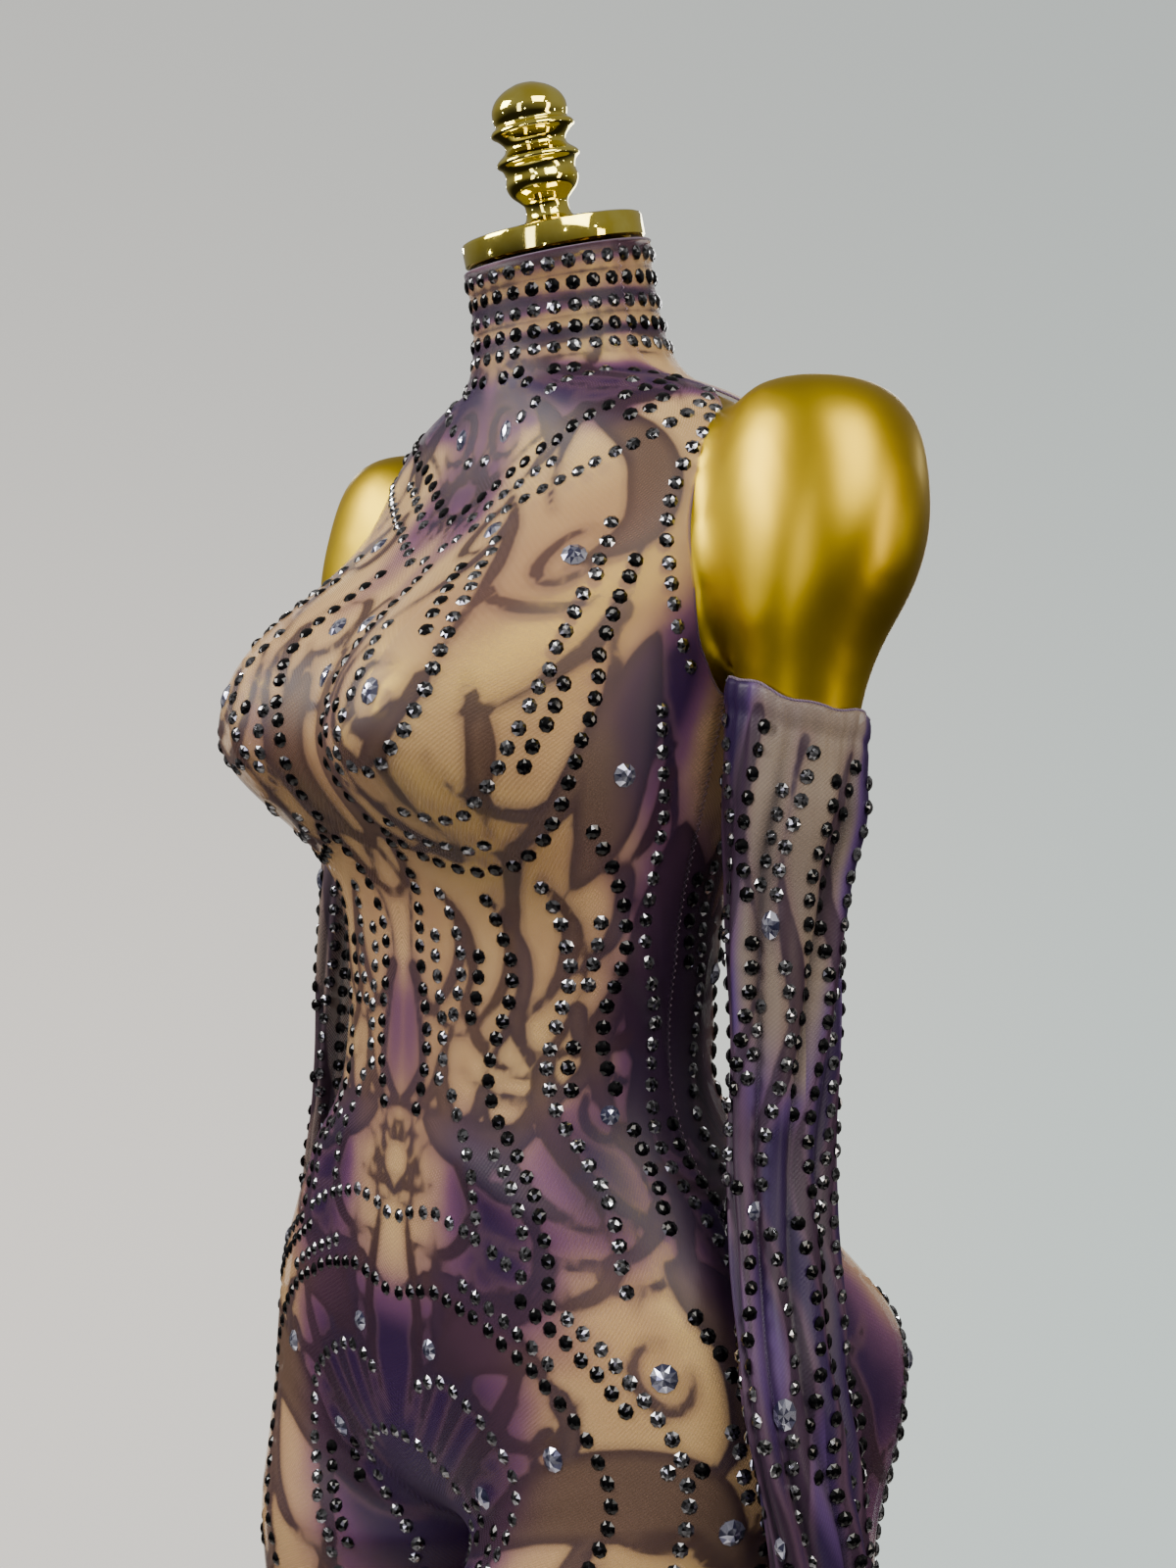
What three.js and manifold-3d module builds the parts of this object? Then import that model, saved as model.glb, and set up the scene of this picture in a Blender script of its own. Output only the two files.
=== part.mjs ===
// Long-sleeved mesh jumpsuit with a funnel neck and cold shoulders, standing on a gold dress form.
// Millimetres, +Z up. The form faces -Y, its left side is +X, and the base plate rests on z = 0.
import * as THREE from 'three';
import { mergeVertices } from 'three/addons/utils/BufferGeometryUtils.js';
import Module from 'manifold-3d';

const wasm = await Module();
wasm.setup();

// Driving dimensions
const CLOTH = 1.0; // thickness of the mesh cloth
const CLEAR = 0.6; // air between the form and the cloth
const SEAM = 0.3; // gap between two sewn pieces
const SEAT_GAP = 0.3; // gap between hard pieces that seat on each other
const CROTCH_Z = 765; // height of the crotch point
const LEG_BLEND_Z = 890; // height where the trunk starts to part into two thighs
const CROTCH_POWER = 4.6; // how late the centre lines turn in under the crotch
const HEM_Z = 66; // height of the trouser hems
const STUB_END_Z = 596; // height where the form's thighs end
const STUB_ROUND = 6; // bevel round the end of a thigh
const BASE = { width: 496, depth: 396, thickness: 6, corner: 34 };
const POLE = { radius: 12, flange: 32, flangeHeight: 6, socketDepth: 62 };
const NECK_CAP = { radius: 51, height: 14, round: 2.5, tiltDegrees: 16, lift: 2 };
const FRONT_COLUMNS = 8; // lattice columns on each half of the front, and on each half of the back
const GAP_COLUMNS = 3; // lattice columns across the bare side of the form inside an armhole
const ROW_STEP = 25; // longest height between two lattice rows of the trunk
const COLUMN_WARP = 0.35; // draws the columns together at the centre lines and the sides

function table(columns, rows) {
  return rows.map((row) => Object.fromEntries(columns.map((name, k) => [name, row[k]])));
}

// Sections of the trunk: height, centre, forward tilt in degrees, half width, depths, squareness
const TRUNK = table(['z', 'centre', 'tilt', 'side', 'front', 'back', 'square'], [
  [1478, -17, 16, 50, 50, 52, 2.0],
  [1460, -13, 14, 49, 49, 52, 2.0],
  [1440, -9, 12, 50, 50, 54, 2.0],
  [1421, -5, 9, 54, 53, 58, 2.0],
  [1406, 0, 6, 68, 58, 64, 2.0],
  [1396, 4, 3, 96, 63, 68, 2.1],
  [1382, 6, 1, 122, 67, 73, 2.2],
  [1360, 6, 0, 141, 70, 78, 2.3],
  [1330, 4, 0, 147, 75, 84, 2.4],
  [1290, -1, 0, 146, 82, 90, 2.4],
  [1250, -9, 0, 141, 88, 94, 2.4],
  [1210, -17, 0, 137, 88, 95, 2.4],
  [1170, -22, 0, 132, 86, 92, 2.3],
  [1130, -25, 0, 124, 83, 86, 2.2],
  [1090, -26, 0, 119, 80, 80, 2.2],
  [1050, -25, 0, 116, 80, 76, 2.2],
  [1010, -23, 0, 125, 83, 84, 2.2],
  [970, -19, 0, 152, 89, 106, 2.3],
  [930, -15, 0, 178, 93, 130, 2.4],
  [890, -13, 0, 195, 93, 146, 2.5],
  [850, -13, 0, 203, 90, 152, 2.5],
  [820, -14, 0, 203, 86, 150, 2.5],
  [796, -15, 0, 201, 84, 144, 2.5],
  [780, -16, 0, 198, 83, 138, 2.5],
  [771, -16, 0, 196, 82, 134, 2.5],
  [CROTCH_Z, -17, 0, 194, 82, 130, 2.5],
]);

// Soft rises on the trunk: the bust cups and the seat. The bridge is the share of a rise's height
// that the middle keeps, low on the form and high on cloth that spans the hollow.
const BUST = { x: 78, z: 1214, wide: 62, up: 86, down: 60, height: 87, formBridge: 0.2, clothBridge: 0.62 };
const SEAT = { x: 88, z: 842, wide: 88, up: 92, down: 120, height: 52, formBridge: 0.6, clothBridge: 0.6 };

// Sections of one leg: height, centre, half width, half depth, depth of its folds
const LEG = table(['z', 'x', 'y', 'wide', 'deep', 'fold'], [
  [CROTCH_Z, 97, 5, 97, 116, 0],
  [760, 99, 5, 95, 115.5, 0],
  [750, 101, 5, 93.5, 114, 0],
  [732, 102, 4, 91.5, 111, 0],
  [704, 103, 2, 89, 105, 0],
  [660, 103, 0, 84, 97, 0],
  [STUB_END_Z + STUB_ROUND, 103, -3, 77, 87, 0],
  [560, 103, -4, 71, 80, 1.5],
  [500, 103, -4, 65, 73, 3],
  [430, 103, -4, 60, 68, 4],
  [360, 103, -4, 57, 64, 4.5],
  [290, 103, -4, 52, 60, 4.5],
  [220, 103, -4, 48, 55, 4],
  [150, 103, -4, 45, 50, 4],
  [100, 103, -4, 43, 48, 4.5],
  [HEM_Z, 103, -4, 43, 48, 5],
]);
const LEG_FOLDS = 4; // folds round an empty trouser leg
const LEG_FOLD_TURN = 0.0042; // how far the folds wander round the leg, in turns for each millimetre

// Edges of the armhole on the lattice: 0 is the centre front, 0.5 the side and 1 the centre back
const ARMHOLE = table(['z', 'front', 'back'], [
  [1396, 0.5, 0.5],
  [1382, 0.44, 0.58],
  [1360, 0.365, 0.67],
  [1340, 0.34, 0.7],
  [1315, 0.345, 0.69],
  [1285, 0.385, 0.645],
  [1260, 0.43, 0.585],
  [1244, 0.47, 0.535],
  [1231, 0.5, 0.5],
]);

// Folds of the taut cloth: a ridge from one lattice place and height to another
const RIDGES = table(['t0', 'z0', 't1', 'z1', 'width', 'rise'], [
  [0.3, 1128, 0.5, 1048, 15, 4.5],
  [0.06, 992, 0.34, 968, 13, 2.5],
  [0.62, 1075, 0.86, 1040, 16, 3.5],
  [0.64, 1020, 0.9, 996, 16, 3.5],
]);

// Sections of an arm stub: height, centre, half width, half depth
const ARM = table(['z', 'x', 'y', 'wide', 'deep'], [
  [1390, 170, 13, 20, 19],
  [1383, 173, 14, 37, 36],
  [1366, 175, 14, 50, 47],
  [1340, 176, 12, 58, 51],
  [1312, 182, 9, 55, 51],
  [1286, 184, 5, 49, 47],
  [1262, 184, 0, 39, 40],
  [1246, 183, -2, 34.5, 34.5],
  [1225, 181, -3, 31.5, 31],
  [1200, 179, -3, 29.5, 30],
  [1184, 178, -3, 28.5, 29],
  [1178, 178, -3, 24, 24],
]);
const ARM_SIDES = 20;

// Sections of a sleeve's inner face: height, centre across, depth place of the left and of the right
// sleeve, half width, half depth, depth of its folds, and its dip from the inner front to the outer back
const SLEEVE = table(['z', 'x', 'yLeft', 'yRight', 'wide', 'deep', 'fold', 'dip'], [
  [1228, 181, -3, -3, 33.2, 32.8, 1, 9],
  [1214, 180.4, -3, -3, 33, 32.8, 1.4, 8],
  [1196, 179, -3, -3, 31.4, 32.2, 1.8, 5],
  [1176, 178, -3, -4, 30, 32, 2.2, 2],
  [1146, 176, -4, -6, 25, 32.5, 3, 0],
  [1106, 175, -5, -8, 21, 33, 3.4, 0],
  [1060, 176, -6, -8, 18, 33, 3.4, 0],
  [1010, 180, -10, -6, 15.5, 32, 3.4, 0],
  [960, 194, -18, -2, 14, 31, 3.4, 0],
  [910, 212, -28, 1, 13, 30, 3.2, 0],
  [870, 221, -27, 2, 12.5, 29, 3.2, 0],
  [830, 224, -19, 2, 12.5, 28.5, 3.2, 0],
  [780, 223, -10, 1, 13, 28.5, 3.4, 0],
  [730, 221, -6, 0, 13.5, 28.5, 3.6, 0],
  [690, 220, -5, 0, 14, 29, 4, 0],
]);
const SLEEVE_SIDES = 20;
const SLEEVE_FOLDS = 5;
const SLEEVE_FOLD_TURN = 0.0022; // how far the folds wander round the sleeve, in turns for each millimetre
const SLEEVE_DIP_SIDE = 50; // side where a sleeve dips most, in degrees from +X round to +Y

// Zip slider and its pull tab, flat against the top of the centre back
const SLIDER = { half: 4, reach: 5.5, thickness: 2.4 };
const BRIDGE = { reach: 4, height: 3.4, wall: 1.1, width: 2.2, sink: 0.4 };
const TAB = { half: 3.2, length: 22, thickness: 1.2, bar: 0.7, windowHalf: 1.6, windowEnd: 4.4 };
const HINGE = { out: 1.15, down: 1.6 }; // from the slider's face and middle to the tab's bar

// Turned outline of the finial above the cap: height and radius
const FINIAL = table(['h', 'r'], [
  [0, 0], [0, 17], [2, 17.5], [4, 15], [7, 12.6], [13, 12.2], [16, 14.5], [20, 18.5], [25, 20.4],
  [30, 19.6], [34, 20.6], [36.5, 23.2], [39, 22.4], [43, 17.8], [46.5, 17.2], [50, 20], [52.5, 23.3],
  [55, 22.6], [57, 20.2], [61, 20.9], [66, 20.6], [71, 17.8], [75, 12.6], [77.6, 6.4], [78.4, 0],
]);

const degrees = (angle) => THREE.MathUtils.degToRad(angle);
const clamp01 = (value) => Math.min(1, Math.max(0, value));
const mix = (a, b, share) => a + (b - a) * share;

// Straight-line reading of a table that runs down from high z to low z
function readDown(rows, z) {
  if (z >= rows[0].z) return { ...rows[0], z };
  for (let k = 1; k < rows.length; k += 1) {
    if (z >= rows[k].z) {
      const share = (z - rows[k - 1].z) / (rows[k].z - rows[k - 1].z);
      const names = Object.keys(rows[k]);
      return Object.fromEntries(names.map((name) => [name, mix(rows[k - 1][name], rows[k][name], share)]));
    }
  }
  return { ...rows[rows.length - 1], z };
}

// Smooth reading of a table at a row number that may lie between two rows
function readSmooth(rows, place) {
  const last = rows.length - 1;
  const k = Math.min(Math.floor(place), last - 1);
  const s = place - k;
  const [a, b, c, d] = [Math.max(k - 1, 0), k, k + 1, Math.min(k + 2, last)].map((n) => rows[n]);
  const blend = (name) => 0.5 * (2 * b[name] + (c[name] - a[name]) * s
    + (2 * a[name] - 5 * b[name] + 4 * c[name] - d[name]) * s ** 2
    + (3 * b[name] - a[name] - 3 * c[name] + d[name]) * s ** 3);
  return Object.fromEntries(Object.keys(b).map((name) => [name, blend(name)]));
}

// Height of a soft rise at a point of one half, with the share kept across the middle
function rise(shape, bridge, x, z) {
  const up = z - shape.z;
  const level = Math.exp(-(Math.abs(up / (up > 0 ? shape.up : shape.down)) ** 2.4));
  const off = x - shape.x;
  const side = Math.exp(-(Math.abs(off / shape.wide) ** 2.3));
  return shape.height * level * (off < 0 ? mix(side, 1, bridge) : side);
}

// Point of a leg's ring: t runs from the inseam round the front, the outer side and the back
function legPoint(z, t) {
  const s = readDown(LEG, z);
  const turn = 2 * Math.PI * t;
  const wave = s.fold * Math.cos(2 * Math.PI * LEG_FOLDS * (t + LEG_FOLD_TURN * (z - HEM_Z) / LEG_FOLDS));
  return new THREE.Vector3(
    s.x - (s.wide + wave) * Math.cos(turn),
    s.y - (s.deep + wave) * Math.sin(turn),
    z,
  );
}

// Point of the left half of the trunk: t runs from the centre front round to the centre back
function trunkPoint(place, t, isCloth) {
  const s = readSmooth(TRUNK, place);
  const turn = Math.PI * (t - COLUMN_WARP * Math.sin(4 * Math.PI * t) / (4 * Math.PI));
  const power = 2 / s.square;
  const forward = Math.cos(turn);
  const reach = (forward > 0 ? -s.front : s.back) * Math.abs(forward) ** power;
  let x = s.side * Math.abs(Math.sin(turn)) ** power;
  let y = s.centre + reach * Math.cos(degrees(s.tilt));
  const z = s.z + reach * Math.sin(degrees(s.tilt));
  const parted = clamp01((LEG_BLEND_Z - z) / (LEG_BLEND_Z - CROTCH_Z));
  const nearCentre = clamp01(1 - 5 * Math.min(t, 1 - t));
  const share = 1 - (1 - parted ** mix(2, CROTCH_POWER, nearCentre)) ** mix(1.5, 1, nearCentre);
  if (share > 0) {
    const leg = legPoint(Math.max(z, CROTCH_Z), t);
    x = mix(x, leg.x, share);
    y = mix(y, leg.y, share);
  }
  const bust = rise(BUST, isCloth ? BUST.clothBridge : BUST.formBridge, x, z);
  const seat = rise(SEAT, isCloth ? SEAT.clothBridge : SEAT.formBridge, x, z);
  y -= bust * Math.max(forward, 0) ** 0.5;
  y += seat * Math.max(-forward, 0) ** 0.5 * (1 - share);
  return new THREE.Vector3(t === 0 || t === 1 ? 0 : x, y, z);
}

// Lattice rows: each trunk section, with rows between sections that lie far apart, then the leg rows
function latticeRows() {
  const rows = [];
  TRUNK.forEach((section, k) => {
    rows.push({ place: k, z: section.z });
    const next = TRUNK[k + 1];
    if (next && section.z - next.z > ROW_STEP) {
      rows.push({ place: k + 0.5, z: readSmooth(TRUNK, k + 0.5).z });
    }
  });
  LEG.slice(1).forEach((section) => rows.push({ leg: true, z: section.z }));
  return rows;
}

const ROWS = latticeRows();
const CROTCH_ROW = ROWS.findIndex((row) => row.leg) - 1;
const STUB_ROW = ROWS.findIndex((row) => row.z === STUB_END_Z + STUB_ROUND);
const BACK_START = FRONT_COLUMNS + GAP_COLUMNS;
const COLUMNS = BACK_START + FRONT_COLUMNS;

// Lattice place of a column at a height, with the columns drawn to the armhole's edges
function columnPlace(column, z) {
  const edge = readDown(ARMHOLE, z);
  if (column <= FRONT_COLUMNS) return edge.front * column / FRONT_COLUMNS;
  if (column >= BACK_START) return mix(edge.back, 1, (column - BACK_START) / FRONT_COLUMNS);
  return mix(edge.front, edge.back, (column - FRONT_COLUMNS) / GAP_COLUMNS);
}

// How far a fold of the cloth stands off at a lattice place and height
function foldRise(t, z) {
  return RIDGES.reduce((sum, ridge) => {
    const span = ridge.t1 - ridge.t0;
    const along = (t - ridge.t0) / span;
    if (along < 0 || along > 1) return sum;
    const off = (z - mix(ridge.z0, ridge.z1, along)) / ridge.width;
    return sum + ridge.rise * Math.sin(Math.PI * along) * Math.exp(-off * off);
  }, 0);
}

// Points of the left half's lattice, for the form or for the cloth's base
function latticePoints(isCloth) {
  return ROWS.map((row) => Array.from({ length: COLUMNS + 1 }, (_, column) => {
    const t = columnPlace(column, row.z);
    return row.leg ? legPoint(row.z, t) : trunkPoint(row.place, t, isCloth);
  }));
}

const keyOf = (point) => point.toArray().map((value) => Math.round(value * 1000) + 0).join();
const mirrored = (point) => new THREE.Vector3(-point.x, point.y, point.z);

// Corners of one lattice face, counted so that its diagonal runs away from the centre line
function faceCorners(at, row, column) {
  const corners = [at(row, column), at(row + 1, column), at(row + 1, column + 1), at(row, column + 1)];
  return column < COLUMNS / 2 ? corners : [...corners.slice(1), corners[0]];
}

// The same face on the right half, with the same diagonal
const otherSide = ([first, ...rest], flipped) => [first, ...rest.reverse()].map(flipped);

// Outward directions of a lattice, averaged over the faces of both halves that meet at each point
function latticeNormals(points) {
  const sums = new Map();
  const add = (a, b, c) => {
    const normal = new THREE.Vector3().subVectors(b, a).cross(new THREE.Vector3().subVectors(c, a));
    [a, b, c].forEach((corner) => {
      const key = keyOf(corner);
      sums.set(key, (sums.get(key) ?? new THREE.Vector3()).add(normal));
    });
  };
  for (let r = 0; r + 1 < points.length; r += 1) {
    for (let c = 0; c < COLUMNS; c += 1) {
      const left = faceCorners((row, column) => points[row][column], r, c);
      [left, otherSide(left, mirrored)].forEach(([p, q, s, t]) => {
        add(p, q, s);
        add(p, s, t);
      });
    }
  }
  return points.map((row) => row.map((point) => sums.get(keyOf(point)).clone().normalize()));
}

// A closed body collected from faces whose corners may coincide
class Body {
  constructor() {
    this.corners = [];
    this.index = new Map();
    this.faces = [];
  }

  corner(point) {
    const key = keyOf(point);
    if (!this.index.has(key)) {
      this.index.set(key, this.corners.length);
      this.corners.push(point);
    }
    return this.index.get(key);
  }

  triangle(a, b, c) {
    const face = [a, b, c].map((point) => this.corner(point));
    if (new Set(face).size === 3) this.faces.push(face);
  }

  quad(a, b, c, d) {
    this.triangle(a, b, c);
    this.triangle(a, c, d);
  }

  fan(ring, middle) {
    ring.forEach((point, k) => this.triangle(point, ring[(k + 1) % ring.length], middle));
  }

  geometry() {
    const geometry = new THREE.BufferGeometry();
    const values = this.corners.flatMap((point) => point.toArray());
    geometry.setAttribute('position', new THREE.Float32BufferAttribute(values, 3));
    geometry.setIndex(this.faces.flat());
    geometry.computeVertexNormals();
    return geometry;
  }
}

// A cloth wall: faces between corners that each hold an inner and an outer point
class Wall {
  constructor() {
    this.pairs = [];
    this.index = new Map();
    this.faces = [];
  }

  corner(pair) {
    const key = keyOf(pair.inner);
    if (!this.index.has(key)) {
      this.index.set(key, this.pairs.length);
      this.pairs.push(pair);
    }
    return this.index.get(key);
  }

  quad(a, b, c, d) {
    const [ka, kb, kc, kd] = [a, b, c, d].map((pair) => this.corner(pair));
    [[ka, kb, kc], [ka, kc, kd]].forEach((face) => {
      if (new Set(face).size === 3) this.faces.push(face);
    });
  }

  geometry() {
    const count = this.pairs.length;
    const points = [...this.pairs.map((p) => p.outer), ...this.pairs.map((p) => p.inner)];
    const used = new Set();
    this.faces.forEach(([a, b, c]) => [[a, b], [b, c], [c, a]].forEach((edge) => used.add(edge.join())));
    const triangles = [];
    this.faces.forEach(([a, b, c]) => {
      triangles.push(a, b, c, a + count, c + count, b + count);
      [[a, b], [b, c], [c, a]].forEach(([p, q]) => {
        if (!used.has(`${q},${p}`)) triangles.push(q, p, p + count, q, p + count, q + count);
      });
    });
    const geometry = new THREE.BufferGeometry();
    const values = points.flatMap((point) => point.toArray());
    geometry.setAttribute('position', new THREE.Float32BufferAttribute(values, 3));
    geometry.setIndex(triangles);
    geometry.computeVertexNormals();
    return geometry;
  }
}

// Cloth lattice: the inner and outer point of each place on the left half
function clothPairs() {
  const base = latticePoints(true);
  const normals = latticeNormals(base);
  return base.map((row, r) => row.map((point, c) => {
    const stand = ROWS[r].leg ? 0 : foldRise(columnPlace(c, ROWS[r].z), ROWS[r].z);
    const at = (offset) => point.clone().addScaledVector(normals[r][c], offset + stand);
    return { inner: at(CLEAR), outer: at(CLEAR + CLOTH) };
  }));
}

const CLOTH_PAIRS = clothPairs();

const flip = (pair) => ({ inner: mirrored(pair.inner), outer: mirrored(pair.outer) });

// A corner moved half a seam towards its neighbour in the same piece
function drawnIn(pair, neighbour) {
  const move = (from, to) => {
    const way = new THREE.Vector3().subVectors(to, from).normalize();
    return from.clone().addScaledVector(way, SEAM / 2);
  };
  return { inner: move(pair.inner, neighbour.inner), outer: move(pair.outer, neighbour.outer) };
}

const isSewnSide = (row) => columnPlace(FRONT_COLUMNS, ROWS[row].z) === 0.5;

// Corner of the front piece, drawn in at the side seams, the inseams and the crotch
function frontCorner(row, column) {
  const pair = CLOTH_PAIRS[row][column];
  if (column === FRONT_COLUMNS && isSewnSide(row)) return drawnIn(pair, CLOTH_PAIRS[row][column - 1]);
  if (column === 0 && row > CROTCH_ROW) return drawnIn(pair, CLOTH_PAIRS[row][1]);
  if (column === 0 && row === CROTCH_ROW) return drawnIn(pair, CLOTH_PAIRS[row - 1][0]);
  return pair;
}

// Corner of a back piece, drawn in at the side seam and all down the centre back and the inseam
function backCorner(row, column) {
  const pair = CLOTH_PAIRS[row][column];
  if (column === BACK_START && isSewnSide(row)) return drawnIn(pair, CLOTH_PAIRS[row][column + 1]);
  if (column === COLUMNS) return drawnIn(pair, CLOTH_PAIRS[row][column - 1]);
  return pair;
}

function frontGeometry() {
  const wall = new Wall();
  for (let r = 0; r + 1 < ROWS.length; r += 1) {
    for (let c = 0; c < FRONT_COLUMNS; c += 1) {
      const corners = faceCorners(frontCorner, r, c);
      wall.quad(...corners);
      wall.quad(...otherSide(corners, flip));
    }
  }
  return wall.geometry();
}

function backGeometry(isLeft) {
  const wall = new Wall();
  for (let r = 0; r + 1 < ROWS.length; r += 1) {
    for (let c = BACK_START; c < COLUMNS; c += 1) {
      const corners = faceCorners(backCorner, r, c);
      wall.quad(...(isLeft ? corners : otherSide(corners, flip)));
    }
  }
  return wall.geometry();
}

// Ring of points round an oval, with folds standing out of it
function ovalRing(s, sides, folds, turn, offset) {
  const outline = (angle) => {
    const wave = s.fold ? s.fold * 0.5 * (1 + Math.cos(folds * angle + turn)) : 0;
    return new THREE.Vector2((s.wide + wave) * Math.cos(angle), (s.deep + wave) * Math.sin(angle));
  };
  return Array.from({ length: sides }, (_, k) => {
    const angle = 2 * Math.PI * k / sides;
    const step = 0.02;
    const along = outline(angle + step).sub(outline(angle - step)).normalize();
    const p = outline(angle).add(new THREE.Vector2(along.y, -along.x).multiplyScalar(offset));
    const dip = (s.dip ?? 0) * Math.cos(angle - degrees(SLEEVE_DIP_SIDE));
    return new THREE.Vector3(s.x + p.x, s.y + p.y, s.z - dip);
  });
}

// Long sleeve: a hollow tube from the gathered top to the open cuff
function sleeveGeometry(isLeft) {
  const wall = new Wall();
  const rings = SLEEVE.map((row) => {
    const s = { ...row, y: isLeft ? row.yLeft : row.yRight };
    const turn = 2 * Math.PI * SLEEVE_FOLD_TURN * s.z;
    const inner = ovalRing(s, SLEEVE_SIDES, SLEEVE_FOLDS, turn, 0);
    const outer = ovalRing(s, SLEEVE_SIDES, SLEEVE_FOLDS, turn, CLOTH);
    return inner.map((point, k) => ({ inner: point, outer: outer[k] }));
  });
  for (let r = 0; r + 1 < rings.length; r += 1) {
    for (let k = 0; k < SLEEVE_SIDES; k += 1) {
      const next = (k + 1) % SLEEVE_SIDES;
      const corners = [rings[r][k], rings[r + 1][k], rings[r + 1][next], rings[r][next]];
      wall.quad(...(isLeft ? corners : otherSide(corners, flip)));
    }
  }
  return wall.geometry();
}

function toManifold(source) {
  let geometry = source.clone();
  geometry.deleteAttribute('normal');
  if (geometry.attributes.uv) geometry.deleteAttribute('uv');
  geometry = mergeVertices(geometry, 1e-3);
  return new wasm.Manifold(new wasm.Mesh({
    numProp: 3,
    vertProperties: Float32Array.from(geometry.attributes.position.array),
    triVerts: Uint32Array.from(geometry.index.array),
  }));
}

function fromManifold(solid) {
  const mesh = solid.getMesh();
  const geometry = new THREE.BufferGeometry();
  geometry.setAttribute('position', new THREE.Float32BufferAttribute(Array.from(mesh.vertProperties), 3));
  geometry.setIndex(Array.from(mesh.triVerts));
  geometry.computeVertexNormals();
  return geometry;
}

const NECK_TOP = new THREE.Vector3(0, TRUNK[0].centre, TRUNK[0].z);
const NECK_LEAN = degrees(NECK_CAP.tiltDegrees);

// The form's trunk with its thighs, closed at the neck and at the ends of the thighs
function trunkGeometry() {
  const points = latticePoints(false).slice(0, STUB_ROW + 1);
  const body = new Body();
  for (let r = 0; r < STUB_ROW; r += 1) {
    for (let c = 0; c < COLUMNS; c += 1) {
      const corners = faceCorners((row, column) => points[row][column], r, c);
      body.quad(...corners);
      body.quad(...otherSide(corners, mirrored));
    }
  }
  const neckAxis = new THREE.Vector3(0, -Math.sin(NECK_LEAN), Math.cos(NECK_LEAN));
  const raised = (point) => point.clone().addScaledVector(neckAxis, NECK_CAP.lift);
  for (let c = 0; c < COLUMNS; c += 1) {
    const edge = [points[0][c], points[0][c + 1], raised(points[0][c + 1]), raised(points[0][c])];
    body.quad(...edge);
    body.quad(...otherSide(edge, mirrored));
    const middle = raised(NECK_TOP);
    body.triangle(raised(points[0][c]), raised(points[0][c + 1]), middle);
    body.triangle(mirrored(raised(points[0][c + 1])), mirrored(raised(points[0][c])), middle);
  }
  const thigh = readDown(LEG, STUB_END_Z + STUB_ROUND);
  const ring = points[STUB_ROW];
  const shrunk = ring.map((p) => new THREE.Vector3(
    mix(thigh.x, p.x, 1 - STUB_ROUND / thigh.wide),
    mix(thigh.y, p.y, 1 - STUB_ROUND / thigh.deep),
    STUB_END_Z,
  ));
  const end = new THREE.Vector3(thigh.x, thigh.y, STUB_END_Z);
  for (let c = 0; c < COLUMNS; c += 1) {
    const rim = [ring[c], shrunk[c], shrunk[c + 1], ring[c + 1]];
    body.quad(...rim);
    body.quad(...otherSide(rim, mirrored));
    body.triangle(shrunk[c], end, shrunk[c + 1]);
    body.triangle(mirrored(shrunk[c + 1]), mirrored(end), mirrored(shrunk[c]));
  }
  return body.geometry();
}

// Upper-arm stub, closed at the shoulder and at its cut end
function armGeometry(isLeft) {
  const body = new Body();
  const rings = ARM.map((s) => ovalRing(s, ARM_SIDES, 0, 0, 0));
  const place = (point) => (isLeft ? point : mirrored(point));
  const quad = (corners) => body.quad(...(isLeft ? corners : otherSide(corners, mirrored)));
  for (let r = 0; r + 1 < rings.length; r += 1) {
    for (let k = 0; k < ARM_SIDES; k += 1) {
      const next = (k + 1) % ARM_SIDES;
      quad([rings[r][k], rings[r + 1][k], rings[r + 1][next], rings[r][next]]);
    }
  }
  const close = (ring, s) => {
    body.fan((isLeft ? ring : ring.reverse()).map(place), place(new THREE.Vector3(s.x, s.y, s.z)));
  };
  close([...rings[0]], ARM[0]);
  close([...rings[rings.length - 1]].reverse(), ARM[ARM.length - 1]);
  return body.geometry();
}

const { x: POLE_X, y: POLE_Y } = readDown(LEG, STUB_END_Z);
const SOCKET_TOP = STUB_END_Z + POLE.socketDepth;

// Round hole up into a thigh, cut from a little below its end
function socketGeometry(x) {
  const below = 10;
  const depth = POLE.socketDepth + below;
  const cylinder = new THREE.CylinderGeometry(POLE.radius + SEAT_GAP, POLE.radius + SEAT_GAP, depth, 16);
  cylinder.rotateX(Math.PI / 2);
  cylinder.translate(x, POLE_Y, SOCKET_TOP - depth / 2);
  return cylinder;
}

function formGeometry() {
  const solid = toManifold(trunkGeometry())
    .add(toManifold(armGeometry(true)))
    .add(toManifold(armGeometry(false)))
    .subtract(toManifold(socketGeometry(POLE_X)))
    .subtract(toManifold(socketGeometry(-POLE_X)));
  return fromManifold(solid);
}

// A lathe turned about +Z from a closed outline of radius and height
function turned(outline, segments) {
  const geometry = new THREE.LatheGeometry(outline.map(([r, h]) => new THREE.Vector2(r, h)), segments);
  geometry.rotateX(Math.PI / 2);
  return geometry;
}

function capGeometry() {
  const { radius, height, round } = NECK_CAP;
  return turned([
    [0, 0], [radius - round / 2, 0], [radius, round / 2], [radius, height - round],
    [radius - round * 0.3, height - round * 0.3], [radius - round, height], [0, height],
  ], 32);
}

function finialGeometry() {
  return turned(FINIAL.map((p) => [p.r, p.h]), 20);
}

function poleGeometry() {
  const top = SOCKET_TOP - SEAT_GAP;
  const { radius, flange, flangeHeight } = POLE;
  return turned([
    [0, BASE.thickness], [flange, BASE.thickness], [flange, BASE.thickness + flangeHeight - 2],
    [flange - 2, BASE.thickness + flangeHeight], [radius + 4, BASE.thickness + flangeHeight],
    [radius, BASE.thickness + flangeHeight + 6], [radius, top], [0, top],
  ], 16);
}

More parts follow.
